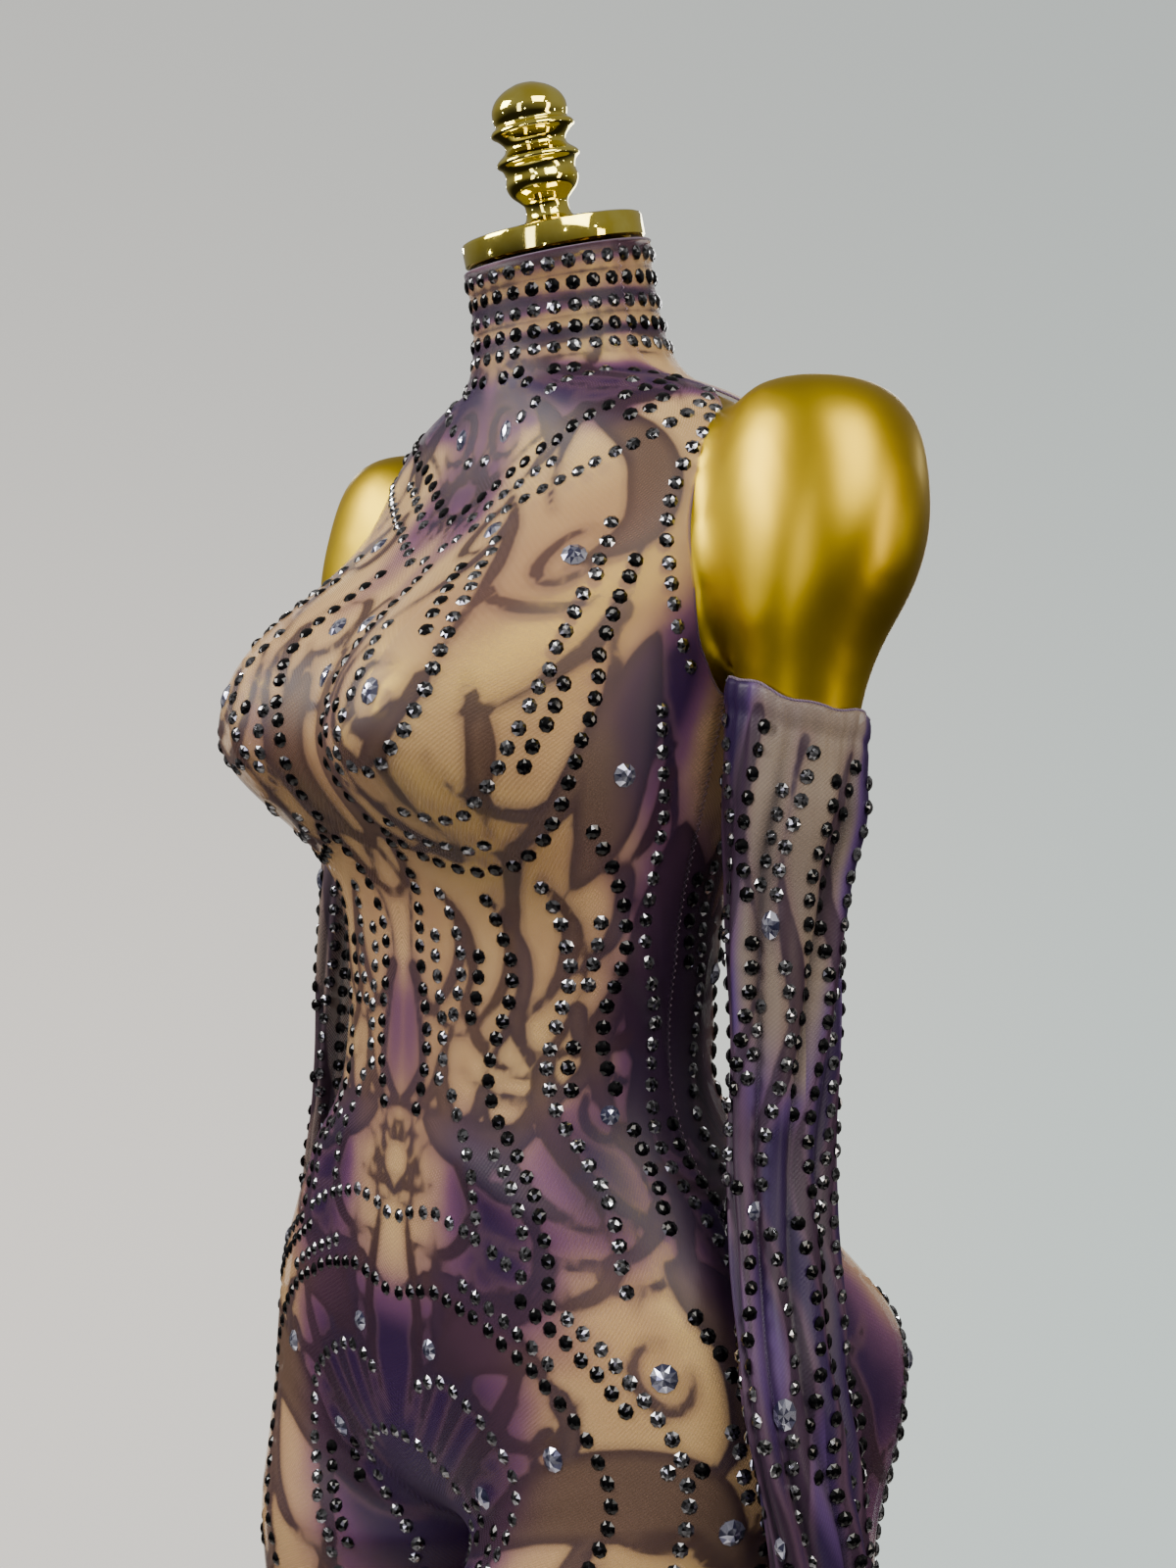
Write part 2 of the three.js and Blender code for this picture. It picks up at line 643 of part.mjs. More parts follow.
function baseGeometry() {
  const { width, depth, thickness, corner } = BASE;
  const [x, y] = [width / 2, depth / 2];
  const shape = new THREE.Shape();
  shape.moveTo(-x + corner, -y);
  shape.lineTo(x - corner, -y);
  shape.absarc(x - corner, -y + corner, corner, -Math.PI / 2, 0);
  shape.lineTo(x, y - corner);
  shape.absarc(x - corner, y - corner, corner, 0, Math.PI / 2);
  shape.lineTo(-x + corner, y);
  shape.absarc(-x + corner, y - corner, corner, Math.PI / 2, Math.PI);
  shape.lineTo(-x, -y + corner);
  shape.absarc(-x + corner, -y + corner, corner, Math.PI, 1.5 * Math.PI);
  return new THREE.ExtrudeGeometry(shape, { depth: thickness, bevelEnabled: false, curveSegments: 6 });
}

// A flat shape given across and along the zip, as a plate that stands out from the cloth
function plate(shape, thickness) {
  const solid = { depth: thickness, bevelEnabled: false, curveSegments: 6 };
  const geometry = new THREE.ExtrudeGeometry(shape, solid);
  geometry.rotateX(Math.PI / 2);
  geometry.translate(0, thickness, 0);
  return geometry;
}

const shapeOf = (points) => new THREE.Shape(points.map(([x, y]) => new THREE.Vector2(x, y)));

// Zip slider: a tapered body with a bridge over the place where the pull tab's bar turns
function sliderGeometry() {
  const { half, reach, thickness } = SLIDER;
  const body = plate(shapeOf([
    [-half * 0.7, -reach], [half * 0.7, -reach], [half, -reach * 0.3], [half, reach * 0.7],
    [half * 0.6, reach], [-half * 0.6, reach], [-half, reach * 0.7], [-half, -reach * 0.3],
  ]), thickness);
  const { height, wall, sink } = BRIDGE;
  const outer = BRIDGE.reach;
  const inner = outer - wall;
  const profile = [
    [outer, -sink], [outer, height * 0.5], [inner - 0.3, height], [-inner + 0.3, height],
    [-outer, height * 0.5], [-outer, -sink], [-inner, -sink], [-inner, height * 0.4],
    [-inner + wall, height - wall], [inner - wall, height - wall], [inner, height * 0.4], [inner, -sink],
  ];
  const arch = new THREE.ExtrudeGeometry(shapeOf(profile), { depth: BRIDGE.width, bevelEnabled: false });
  arch.translate(0, 0, -BRIDGE.width / 2);
  arch.rotateY(-Math.PI / 2);
  arch.translate(0, thickness, 0);
  return fromManifold(toManifold(body).add(toManifold(arch)));
}

// Pull tab, hanging from the middle of its bar, with a window that the slider's bridge passes through
function tabGeometry() {
  const { half, length, thickness, bar, windowHalf, windowEnd } = TAB;
  const waist = half * 0.72;
  const shape = new THREE.Shape();
  shape.moveTo(-half, bar);
  shape.lineTo(-half, -windowEnd - bar);
  shape.lineTo(-waist, -length / 2);
  shape.lineTo(-half, -length + half);
  shape.absarc(0, -length + half, half, Math.PI, 2 * Math.PI);
  shape.lineTo(waist, -length / 2);
  shape.lineTo(half, -windowEnd - bar);
  shape.lineTo(half, bar);
  shape.closePath();
  shape.holes.push(shapeOf([
    [-windowHalf, -bar], [windowHalf, -bar], [windowHalf, -windowEnd], [-windowHalf, -windowEnd],
  ]));
  const geometry = plate(shape, thickness);
  geometry.translate(0, -thickness / 2, 0);
  return geometry;
}

const MATERIALS = {
  mesh: new THREE.MeshStandardMaterial({ color: 0xb7a3a0, roughness: 0.8, metalness: 0 }),
  sleeve: new THREE.MeshStandardMaterial({ color: 0xa79bb0, roughness: 0.8, metalness: 0 }),
  satinGold: new THREE.MeshStandardMaterial({ color: 0xb59a55, roughness: 0.35, metalness: 0.8 }),
  polishedGold: new THREE.MeshStandardMaterial({ color: 0xd8c168, roughness: 0.08, metalness: 1 }),
  steel: new THREE.MeshStandardMaterial({ color: 0x9a9a98, roughness: 0.3, metalness: 1 }),
  zip: new THREE.MeshStandardMaterial({ color: 0x8a7f8c, roughness: 0.35, metalness: 0.6 }),
};

function part(name, geometry, material) {
  const mesh = new THREE.Mesh(geometry, material);
  mesh.name = name;
  return mesh;
}

const jumpsuit = new THREE.Group();
jumpsuit.add(
  part('front', frontGeometry(), MATERIALS.mesh),
  part('back_left', backGeometry(true), MATERIALS.mesh),
  part('back_right', backGeometry(false), MATERIALS.mesh),
  part('sleeve_left', sleeveGeometry(true), MATERIALS.sleeve),
  part('sleeve_right', sleeveGeometry(false), MATERIALS.sleeve),
);

// Place on the centre back where the closed zip's slider lies, and the cloth's lean there
const [ZIP_ABOVE, ZIP_BELOW] = [0, 1].map((row) => CLOTH_PAIRS[row][COLUMNS].outer);
const zip = new THREE.Group();
zip.position.copy(ZIP_ABOVE).lerp(ZIP_BELOW, 0.6);
zip.position.x = 0;
zip.rotation.x = Math.atan2(ZIP_BELOW.y - ZIP_ABOVE.y, ZIP_ABOVE.z - ZIP_BELOW.z);
const slider = part('zip_slider', sliderGeometry(), MATERIALS.zip);
slider.position.y = SEAT_GAP;
const tab = part('pull_tab', tabGeometry(), MATERIALS.zip);
tab.position.set(0, SEAT_GAP + SLIDER.thickness + HINGE.out, -HINGE.down);
zip.add(slider, tab);
jumpsuit.add(zip);

const form = new THREE.Group();
form.add(part('dress_form', formGeometry(), MATERIALS.satinGold));

const neckTop = new THREE.Group();
neckTop.position.copy(NECK_TOP);
neckTop.rotation.x = NECK_LEAN;
const cap = part('neck_cap', capGeometry(), MATERIALS.polishedGold);
cap.position.z = NECK_CAP.lift + SEAT_GAP;
const finial = part('finial', finialGeometry(), MATERIALS.polishedGold);
finial.position.z = cap.position.z + NECK_CAP.height + SEAT_GAP;
neckTop.add(cap, finial);
form.add(neckTop);

const stand = new THREE.Group();
stand.add(part('base_plate', baseGeometry(), MATERIALS.steel));
[['pole_left', POLE_X], ['pole_right', -POLE_X]].forEach(([name, x]) => {
  const pole = part(name, poleGeometry(), MATERIALS.steel);
  pole.position.set(x, POLE_Y, 0);
  stand.add(pole);
});

const group = new THREE.Group();
group.add(jumpsuit, form, stand);
export default group;
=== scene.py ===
"""Looks of a rhinestone jumpsuit on a gold dress form: cloth, print, stones, form and studio."""
import math

import bmesh
import bpy
import numpy as np
from mathutils import Matrix, Vector


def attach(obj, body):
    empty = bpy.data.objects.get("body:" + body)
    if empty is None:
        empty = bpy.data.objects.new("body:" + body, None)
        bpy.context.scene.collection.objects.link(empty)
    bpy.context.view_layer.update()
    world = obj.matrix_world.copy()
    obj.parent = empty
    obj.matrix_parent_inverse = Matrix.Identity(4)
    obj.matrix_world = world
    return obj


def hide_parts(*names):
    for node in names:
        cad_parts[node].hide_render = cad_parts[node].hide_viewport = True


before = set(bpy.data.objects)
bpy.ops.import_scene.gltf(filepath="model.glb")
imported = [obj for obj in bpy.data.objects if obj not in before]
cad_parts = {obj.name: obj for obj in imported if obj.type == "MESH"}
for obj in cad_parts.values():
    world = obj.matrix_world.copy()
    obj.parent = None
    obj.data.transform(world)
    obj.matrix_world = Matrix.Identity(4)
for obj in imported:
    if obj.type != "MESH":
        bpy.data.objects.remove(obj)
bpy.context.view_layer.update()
MM = 0.001
BODY = "stand"
SIDES = {"left": 1, "right": -1}
random = np.random.default_rng(11)

# Camera, in millimetres and degrees
TARGET = Vector((19, 0, 1185))
CAMERA_DISTANCE = 1050
CAMERA_TURN = 50
CAMERA_ROLL = 1.5
CAMERA_LENS = 43.31

# Cloth and form, in millimetres. The lattice runs from 0 at the centre front, or at the inseam of a
# leg, round the outer side at 0.5 to 1 at the back, and its heights are those of the CAD model.
CLOTH_STAND = 1.5
CLOTH_THICK = 0.8
MIDDLE = 0.004
CROTCH_Z = 765
LEG_BLEND_Z = 890
CROTCH_POWER = 4.6
HEM_Z = 66
HEM_DEPTH = 20
NECK_Z = 1478
NECK_HEM_Z = 1467.5
STUB_END_Z = 596
STUB_ROUND = 6
COLUMN_WARP = 0.35
LEG_FOLDS = 4
LEG_FOLD_TURN = 0.0042
NECK_LEAN = 16
ZIP_TOP = 1474
ZIP_END = 1285
SLEEVE_TOP = 1228
SLEEVE_END = 690


def table(columns, rows):
    """Rows of numbers as one array for each named column."""
    values = np.array(rows, float)
    return {name: values[:, k] for k, name in enumerate(columns.split())}


def rows_of(columns):
    """The rows of such a table, each with its columns' names."""
    return [dict(zip(columns, row)) for row in zip(*columns.values())]


TRUNK = table("z centre tilt side front back square", (
    (1478, -17, 16, 50, 50, 52, 2.0), (1460, -13, 14, 49, 49, 52, 2.0),
    (1440, -9, 12, 50, 50, 54, 2.0), (1421, -5, 9, 54, 53, 58, 2.0),
    (1406, 0, 6, 68, 58, 64, 2.0), (1396, 4, 3, 96, 63, 68, 2.1),
    (1382, 6, 1, 122, 67, 73, 2.2), (1360, 6, 0, 141, 70, 78, 2.3),
    (1330, 4, 0, 147, 75, 84, 2.4), (1290, -1, 0, 146, 82, 90, 2.4),
    (1250, -9, 0, 141, 88, 94, 2.4), (1210, -17, 0, 137, 88, 95, 2.4),
    (1170, -22, 0, 132, 86, 92, 2.3), (1130, -25, 0, 124, 83, 86, 2.2),
    (1090, -26, 0, 119, 80, 80, 2.2), (1050, -25, 0, 116, 80, 76, 2.2),
    (1010, -23, 0, 125, 83, 84, 2.2), (970, -19, 0, 152, 89, 106, 2.3),
    (930, -15, 0, 178, 93, 130, 2.4), (890, -13, 0, 195, 93, 146, 2.5),
    (850, -13, 0, 203, 90, 152, 2.5), (820, -14, 0, 203, 86, 150, 2.5),
    (796, -15, 0, 201, 84, 144, 2.5), (780, -16, 0, 198, 83, 138, 2.5),
    (771, -16, 0, 196, 82, 134, 2.5), (765, -17, 0, 194, 82, 130, 2.5),
))
BUST = {"x": 78, "z": 1214, "wide": 62, "up": 86, "down": 60, "height": 87, "form": 0.2, "cloth": 0.62}
SEAT = {"x": 88, "z": 842, "wide": 88, "up": 92, "down": 120, "height": 52, "form": 0.6, "cloth": 0.6}
LEG = table("z x y wide deep fold", (
    (765, 97, 5, 97, 116, 0), (760, 99, 5, 95, 115.5, 0), (750, 101, 5, 93.5, 114, 0),
    (732, 102, 4, 91.5, 111, 0), (704, 103, 2, 89, 105, 0), (660, 103, 0, 84, 97, 0),
    (602, 103, -3, 77, 87, 0), (560, 103, -4, 71, 80, 1.5), (500, 103, -4, 65, 73, 3),
    (430, 103, -4, 60, 68, 4), (360, 103, -4, 57, 64, 4.5), (290, 103, -4, 52, 60, 4.5),
    (220, 103, -4, 48, 55, 4), (150, 103, -4, 45, 50, 4), (100, 103, -4, 43, 48, 4.5),
    (66, 103, -4, 43, 48, 5),
))
ARMHOLE = table("z front back", (
    (1396, 0.5, 0.5), (1382, 0.44, 0.58), (1360, 0.365, 0.67), (1340, 0.34, 0.7),
    (1315, 0.345, 0.69), (1285, 0.385, 0.645), (1260, 0.43, 0.585), (1244, 0.47, 0.535),
    (1231, 0.5, 0.5),
))
ARM = table("z x y wide deep", (
    (1390, 170, 13, 20, 19), (1383, 173, 14, 37, 36), (1366, 175, 14, 50, 47),
    (1340, 176, 12, 58, 51), (1312, 182, 9, 55, 51), (1286, 184, 5, 49, 47),
    (1262, 184, 0, 39, 40), (1246, 183, -2, 34.5, 34.5), (1225, 181, -3, 31.5, 31),
    (1200, 179, -3, 29.5, 30), (1184, 178, -3, 28.5, 29), (1178, 178, -3, 24, 24),
))
# Bridge between an arm stub and the chest: its inner and outer reach across, place and half depth
WEB = table("z inner outer y deep", (
    (1380, 100, 190, 12, 18), (1370, 104, 205, 12, 33), (1350, 110, 216, 10, 43),
    (1325, 114, 220, 7, 45), (1300, 116, 216, 4, 43), (1280, 118, 206, 2, 39),
    (1264, 120, 194, 0, 32), (1254, 124, 182, -2, 22), (1248, 128, 170, -4, 9),
))
SLEEVE = table("z x left right wide deep fold dip", (
    (1228, 181, -3, -3, 33.2, 32.8, 1, 9), (1214, 180.4, -3, -3, 33, 32.8, 1.4, 8),
    (1196, 179, -3, -3, 31.4, 32.2, 1.8, 5), (1176, 178, -3, -4, 30, 32, 2.2, 2),
    (1146, 176, -4, -6, 25, 32.5, 3, 0), (1106, 175, -5, -8, 21, 33, 3.4, 0),
    (1060, 176, -6, -8, 18, 33, 3.4, 0), (1010, 180, -10, -6, 15.5, 32, 3.4, 0),
    (960, 194, -18, -2, 14, 31, 3.4, 0), (910, 212, -28, 1, 13, 30, 3.2, 0),
    (870, 221, -27, 2, 12.5, 29, 3.2, 0), (830, 224, -19, 2, 12.5, 28.5, 3.2, 0),
    (780, 223, -10, 1, 13, 28.5, 3.4, 0), (730, 221, -6, 0, 13.5, 28.5, 3.6, 0),
    (690, 220, -5, 0, 14, 29, 4, 0),
))
SLEEVE_FOLDS = 5
SLEEVE_FOLD_TURN = 0.0022
SLEEVE_DIP_SIDE = 50
# Outlines of the turned parts: radius and height in millimetres
FINIAL = (
    (0, 0), (17, 0), (17.5, 2), (15, 4), (12.6, 7), (12.2, 13), (14.5, 16), (18.5, 20), (20.4, 25),
    (19.6, 30), (20.6, 34), (23.2, 36.5), (22.4, 39), (17.8, 43), (17.2, 46.5), (20, 50),
    (23.3, 52.5), (22.6, 55), (20.2, 57), (20.9, 61), (20.6, 66), (17.8, 71), (12.6, 75),
    (6.4, 77.6), (0, 78.4),
)
NECK_CAP = ((0, 0), (49.75, 0), (51, 1.25), (51, 11.5), (50.25, 13.25), (48.5, 14), (0, 14))
POLE = ((0, 6), (32, 6), (32, 10), (30, 12), (16, 12), (12, 18), (12, 657.7), (0, 657.7))
POLE_PLACE = (103, -3)
CAP_LIFT = 2.3
FINIAL_LIFT = 16.6
FINIAL_STEPS = 110

# Creases of the cloth: lattice place and height of both ends, width and rise in millimetres
CREASES = table("t0 z0 t1 z1 width rise", (
    (0.30, 1128, 0.50, 1048, 15, 4.5),
    (0.33, 1102, 0.50, 1030, 7, -1.8),
    (0.36, 1150, 0.52, 1090, 8, 1.6),
    (0.06, 992, 0.34, 968, 13, 2.5),
    (0.28, 944, 0.46, 952, 3.0, 1.0),
    (0.26, 935, 0.48, 941, 2.6, 1.2),
    (0.29, 927, 0.45, 930, 2.6, 1.0),
    (0.12, 1372, 0.36, 1366, 4.0, 0.8),
    (0.14, 1361, 0.35, 1355, 3.6, 0.7),
    (0.05, 1420, 0.45, 1404, 3.5, 0.9),
    (0.10, 1432, 0.60, 1418, 3.0, 0.8),
    (0.62, 1075, 0.86, 1040, 16, 3.5),
    (0.64, 1020, 0.90, 996, 16, 3.5),
    (0.60, 1100, 0.80, 1085, 9, 2.0),
    (0.55, 965, 0.75, 985, 9, 1.6),
    (0.70, 1385, 0.95, 1372, 6, 1.2),
    (0.06, 812, 0.26, 842, 7, 1.2),
    (0.05, 790, 0.22, 812, 6, 1.0),
    (0.80, 785, 0.97, 768, 7, 1.6),
    (0.74, 772, 0.93, 750, 7, 1.4),
))


def read_smooth(rows, place):
    """Every column of a table at row numbers that may lie between two rows."""
    last = len(rows["z"]) - 1
    k = np.clip(np.floor(place).astype(int), 0, last - 1)
    s = place - k
    found = {}
    for name, column in rows.items():
        a, b = column[np.maximum(k - 1, 0)], column[k]
        c, d = column[k + 1], column[np.minimum(k + 2, last)]
        found[name] = 0.5 * (2 * b + (c - a) * s + (2 * a - 5 * b + 4 * c - d) * s**2
                             + (3 * b - a - 3 * c + d) * s**3)
    return found


def row_number(rows, z):
    """Row number of a height in a table that runs downwards."""
    last = len(rows["z"]) - 1
    places = np.linspace(0, last, 60 * last + 1)
    heights = np.minimum.accumulate(read_smooth({"z": rows["z"]}, places)["z"])
    return np.interp(-np.asarray(z, float), -heights, places)


def rise(shape, bridge, x, z):
    """Height of a soft rise on one half, with the share that the middle keeps."""
    up = z - shape["z"]
    level = np.exp(-np.abs(up / np.where(up > 0, shape["up"], shape["down"])) ** 2.4)
    off = x - shape["x"]
    side = np.exp(-np.abs(off / shape["wide"]) ** 2.3)
    return shape["height"] * level * np.where(off < 0, side + (1 - side) * bridge, side)


def leg_point(t, z):
    """Point of a leg: t runs from the inseam round the front, the outer side and the back."""
    s = read_smooth(LEG, row_number(LEG, z))
    wave = s["fold"] * np.cos(2 * np.pi * LEG_FOLDS * (t + LEG_FOLD_TURN * (z - HEM_Z) / LEG_FOLDS))
    wave += 0.35 * s["fold"] * np.sin(2 * np.pi * (7 * t + 0.006 * z)) * np.sin(0.045 * z + 9 * t)
    turn = 2 * np.pi * t
    x = s["x"] - (s["wide"] + wave) * np.cos(turn)
    y = s["y"] - (s["deep"] + wave) * np.sin(turn)
    return np.stack([x, y, np.asarray(z, float) + 0 * x], -1)


def trunk_point(t, z, side):
    """Point of the trunk's left half: t runs from the centre front round to the centre back."""
    s = read_smooth(TRUNK, row_number(TRUNK, z))
    turn = np.pi * (t - COLUMN_WARP * np.sin(4 * np.pi * t) / (4 * np.pi))
    power = 2 / s["square"]
    forward = np.cos(turn)
    reach = np.where(forward > 0, -s["front"], s["back"]) * np.abs(forward) ** power
    tilt = np.radians(s["tilt"])
    x = s["side"] * np.abs(np.sin(turn)) ** power
    y = s["centre"] + reach * np.cos(tilt)
    z = s["z"] + reach * np.sin(tilt)
    parted = np.clip((LEG_BLEND_Z - z) / (LEG_BLEND_Z - CROTCH_Z), 0, 1)
    near_centre = np.clip(1 - 5 * np.minimum(t, 1 - t), 0, 1)
    late = 2 + (CROTCH_POWER - 2) * near_centre
    share = 1 - (1 - parted**late) ** (1.5 - 0.5 * near_centre)
    leg = leg_point(t, np.full_like(x, CROTCH_Z))
    x = x + (leg[..., 0] - x) * share
    y = y + (leg[..., 1] - y) * share
    y = y - rise(BUST, BUST[side], x, z) * np.maximum(forward, 0) ** 0.5
    y = y + rise(SEAT, SEAT[side], x, z) * np.maximum(-forward, 0) ** 0.5 * (1 - share)
    x = np.where((t <= 0) | (t >= 1), 0, x)
    return np.stack([x, y, z], -1)


def body_point(t, z, side="cloth"):
    """Point of the left half of the trunk and leg at a lattice place and height."""
    t, z = np.broadcast_arrays(np.asarray(t, float), np.asarray(z, float))
    upper = trunk_point(t, np.maximum(z, CROTCH_Z), side)
    lower = leg_point(t, np.minimum(z, CROTCH_Z))
    return np.where((z >= CROTCH_Z)[..., None], upper, lower)


def body_normal(t, z, side="cloth"):
    """Outward direction of the same surface."""
    t, z = np.broadcast_arrays(np.asarray(t, float), np.asarray(z, float))
    t0, t1 = [np.clip(t + step, 0.0005, 0.9995) for step in (-0.004, 0.004)]
    z0, z1 = np.clip(z - 1.5, HEM_Z, NECK_Z), np.clip(z + 1.5, HEM_Z, NECK_Z)
    across = body_point(t1, z, side) - body_point(t0, z, side)
    upward = body_point(t, z1, side) - body_point(t, z0, side)
    normal = np.cross(across, upward)
    middle = ((t < MIDDLE) | (t > 1 - MIDDLE)) & (z > CROTCH_Z)
    normal[..., 0] = np.where(middle, 0, normal[..., 0])
    return normal / np.linalg.norm(normal, axis=-1, keepdims=True)


def crease_rise(t, z):
    """How far the creases and the folded hems lift the cloth; a crease fades out at its ends."""
    total = np.zeros(np.broadcast(t, z).shape)
    total += 0.45 * (z > NECK_HEM_Z) - 0.3 * np.exp(-((z - NECK_HEM_Z + 1) / 1.6) ** 2)
    total += 0.5 * (z < HEM_Z + HEM_DEPTH) - 0.3 * np.exp(-((z - HEM_Z - HEM_DEPTH - 1) / 2.5) ** 2)
    for k, c in enumerate(rows_of(CREASES)):
        along = (t - c["t0"]) / (c["t1"] - c["t0"])
        bow = 5 * np.sin(2.6 * np.pi * along + k)
        off = (z + bow - c["z0"] - (c["z1"] - c["z0"]) * along) / c["width"]
        fade = np.sin(np.pi * np.clip(along, 0, 1)) ** 0.8
        total += c["rise"] * fade * np.exp(-off * off)
    return total


def cloth_place(t, z, stand=CLOTH_STAND):
    """Place and outward direction on the outside of the cloth, in millimetres."""
    normal = body_normal(t, z)
    lift = stand + crease_rise(np.asarray(t, float), np.asarray(z, float))
    return body_point(t, z) + normal * lift[..., None], normal


def hanging_lobes(turn, z):
    """Round folds of a hanging sleeve, from 0 in the sharp valleys to 1 on the crests."""
    drift = 1.2 * np.sin(0.0085 * z + turn) + 0.5 * np.sin(0.021 * z - 2 * turn) + 0.003 * z
    return np.abs(np.sin(4.5 * turn + drift))


def sleeve_rise(turn, z, s):
    """How far a sleeve's cloth stands out from its plain outline at a direction and height."""
    wave = s["fold"] * 0.5 * (1 + np.cos(SLEEVE_FOLDS * turn + 2 * np.pi * SLEEVE_FOLD_TURN * s["z"]))
    away = 0.5 + 0.5 * np.cos(turn)
    low = np.clip((1214 - z) / 50, 0, 1)
    free = np.clip((1180 - z) / 40, 0, 1)
    folds = low * (6.0 * hanging_lobes(turn, z) * away + 0.4 * np.sin(13 * turn + 0.031 * z)) - 3.2 * free
    gather = 0.75 * np.sin(24 * turn + 0.8 * np.sin(5 * turn)) * np.exp(-np.abs(1214 - z) / 22)
    casing = 0.8 * np.exp(-(((z - 1222.5) / 5) ** 4)) - 0.8 * np.exp(-(((z - 1214) / 2.6) ** 2))
    casing += 0.6 * np.exp(-(((z - 693) / 6) ** 4)) - 0.5 * np.exp(-(((z - 703) / 2.5) ** 2))
    crumple = 1.1 * np.sin(0.085 * z + 3 * turn) * np.exp(-((z - 905) / 60) ** 2)
    tuck = 6 * np.exp(2.2 * (np.cos(turn + math.radians(115)) - 1)) * np.exp(-(((z - 1050) / 70) ** 2))
    return wave + folds - tuck + low * crumple + gather + casing


def sleeve_point(turn, z, is_left, offset):
    """Point of the left sleeve, or of the right one mirrored, at a direction and height."""
    s = read_smooth(SLEEVE, row_number(SLEEVE, z))
    out = sleeve_rise(turn, z, s) + offset
    dip = s["dip"] * np.cos(turn - math.radians(SLEEVE_DIP_SIDE))
    swing = 0 if is_left else 16 * np.exp(-((z - 1055) / 105) ** 2)
    wavy = (2.0 * np.sin(3 * turn + 0.7) + 0.9 * np.sin(8 * turn)) * np.clip((z - 1180) / 48, 0, 1)
    x = s["x"] + swing + (s["wide"] + out) * np.cos(turn)
    y = s["left" if is_left else "right"] + (s["deep"] + out) * np.sin(turn)
    return np.stack([x, y, s["z"] - dip + wavy], -1)


def sleeve_place(angle, z, is_left, offset=1.0):
    """Place and outward direction on a sleeve at an angle in degrees and a height."""
    turn, z = np.broadcast_arrays(np.radians(np.asarray(angle, float)), np.asarray(z, float))
    point = sleeve_point(turn, z, is_left, offset)
    across = sleeve_point(turn + 0.02, z, is_left, offset) - sleeve_point(turn - 0.02, z, is_left, offset)
    normal = np.stack([across[..., 1], -across[..., 0], 0 * turn], -1)
    normal /= np.linalg.norm(normal, axis=-1, keepdims=True)
    flip = 1 if is_left else -1
    return point * (flip, 1, 1), normal * (flip, 1, 1)


def edge_smooth(name, z):
    """Lattice place of an armhole edge at a height."""
    rows = {"z": ARMHOLE["z"], name: ARMHOLE[name]}
    found = read_smooth(rows, row_number(rows, z))[name]
    inside = (z < ARMHOLE["z"][0]) & (z > ARMHOLE["z"][-1])
    limit = np.minimum if name == "front" else np.maximum
    return np.where(inside, limit(found, 0.5), 0.5)


# Materials

def linear(colour, alpha=1.0):
    """A linear colour from an sRGB hex value."""
    parts = [int(colour[k:k + 2], 16) / 255 for k in (1, 3, 5)]
    return (*[p / 12.92 if p <= 0.04045 else ((p + 0.055) / 1.055) ** 2.4 for p in parts], alpha)


# Kinds of node used often, each with the output that is read and its fixed settings
MIX = {"kind": "ShaderNodeMix", "output": 2, "data_type": "RGBA"}
RAMP = {"kind": "ShaderNodeMapRange", "output": 0, "interpolation_type": "SMOOTHSTEP"}
MATH = {"kind": "ShaderNodeMath", "output": 0}
NOISE = {"kind": "ShaderNodeTexNoise", "output": "Fac"}
WAVE = {"kind": "ShaderNodeTexWave", "output": "Fac"}
PLACE = {"kind": "ShaderNodeTexCoord", "output": "Object"}
MAPPING = {"kind": "ShaderNodeMapping", "output": 0}
BUMP = {"kind": "ShaderNodeBump", "output": 0}


def add(tree, inputs, kind, output, **settings):
    """Adds a node with its settings and with a value or link for each input, and gives one output."""
    made = tree.nodes.new(kind)
    for name, value in settings.items():
        setattr(made, name, value)
    for name, value in inputs.items():
        if isinstance(value, bpy.types.NodeSocket):
            tree.links.new(value, made.inputs[name])
        else:
            made.inputs[name].default_value = value
    return made.outputs[output]


def new_material(name, **values):
    """A material with one Principled shader, whose fixed values are given by socket name."""
    material = bpy.data.materials.new(name)
    material.use_nodes = True
    tree = material.node_tree
    shader = tree.nodes["Principled BSDF"]
    for socket, value in values.items():
        shader.inputs[socket.replace("_", " ")].default_value = value
    return material, tree, shader


def wire(tree, shader, sockets):
    """Links outputs to a shader's sockets, given by name."""
    for name, output in sockets.items():
        tree.links.new(output, shader.inputs[name])


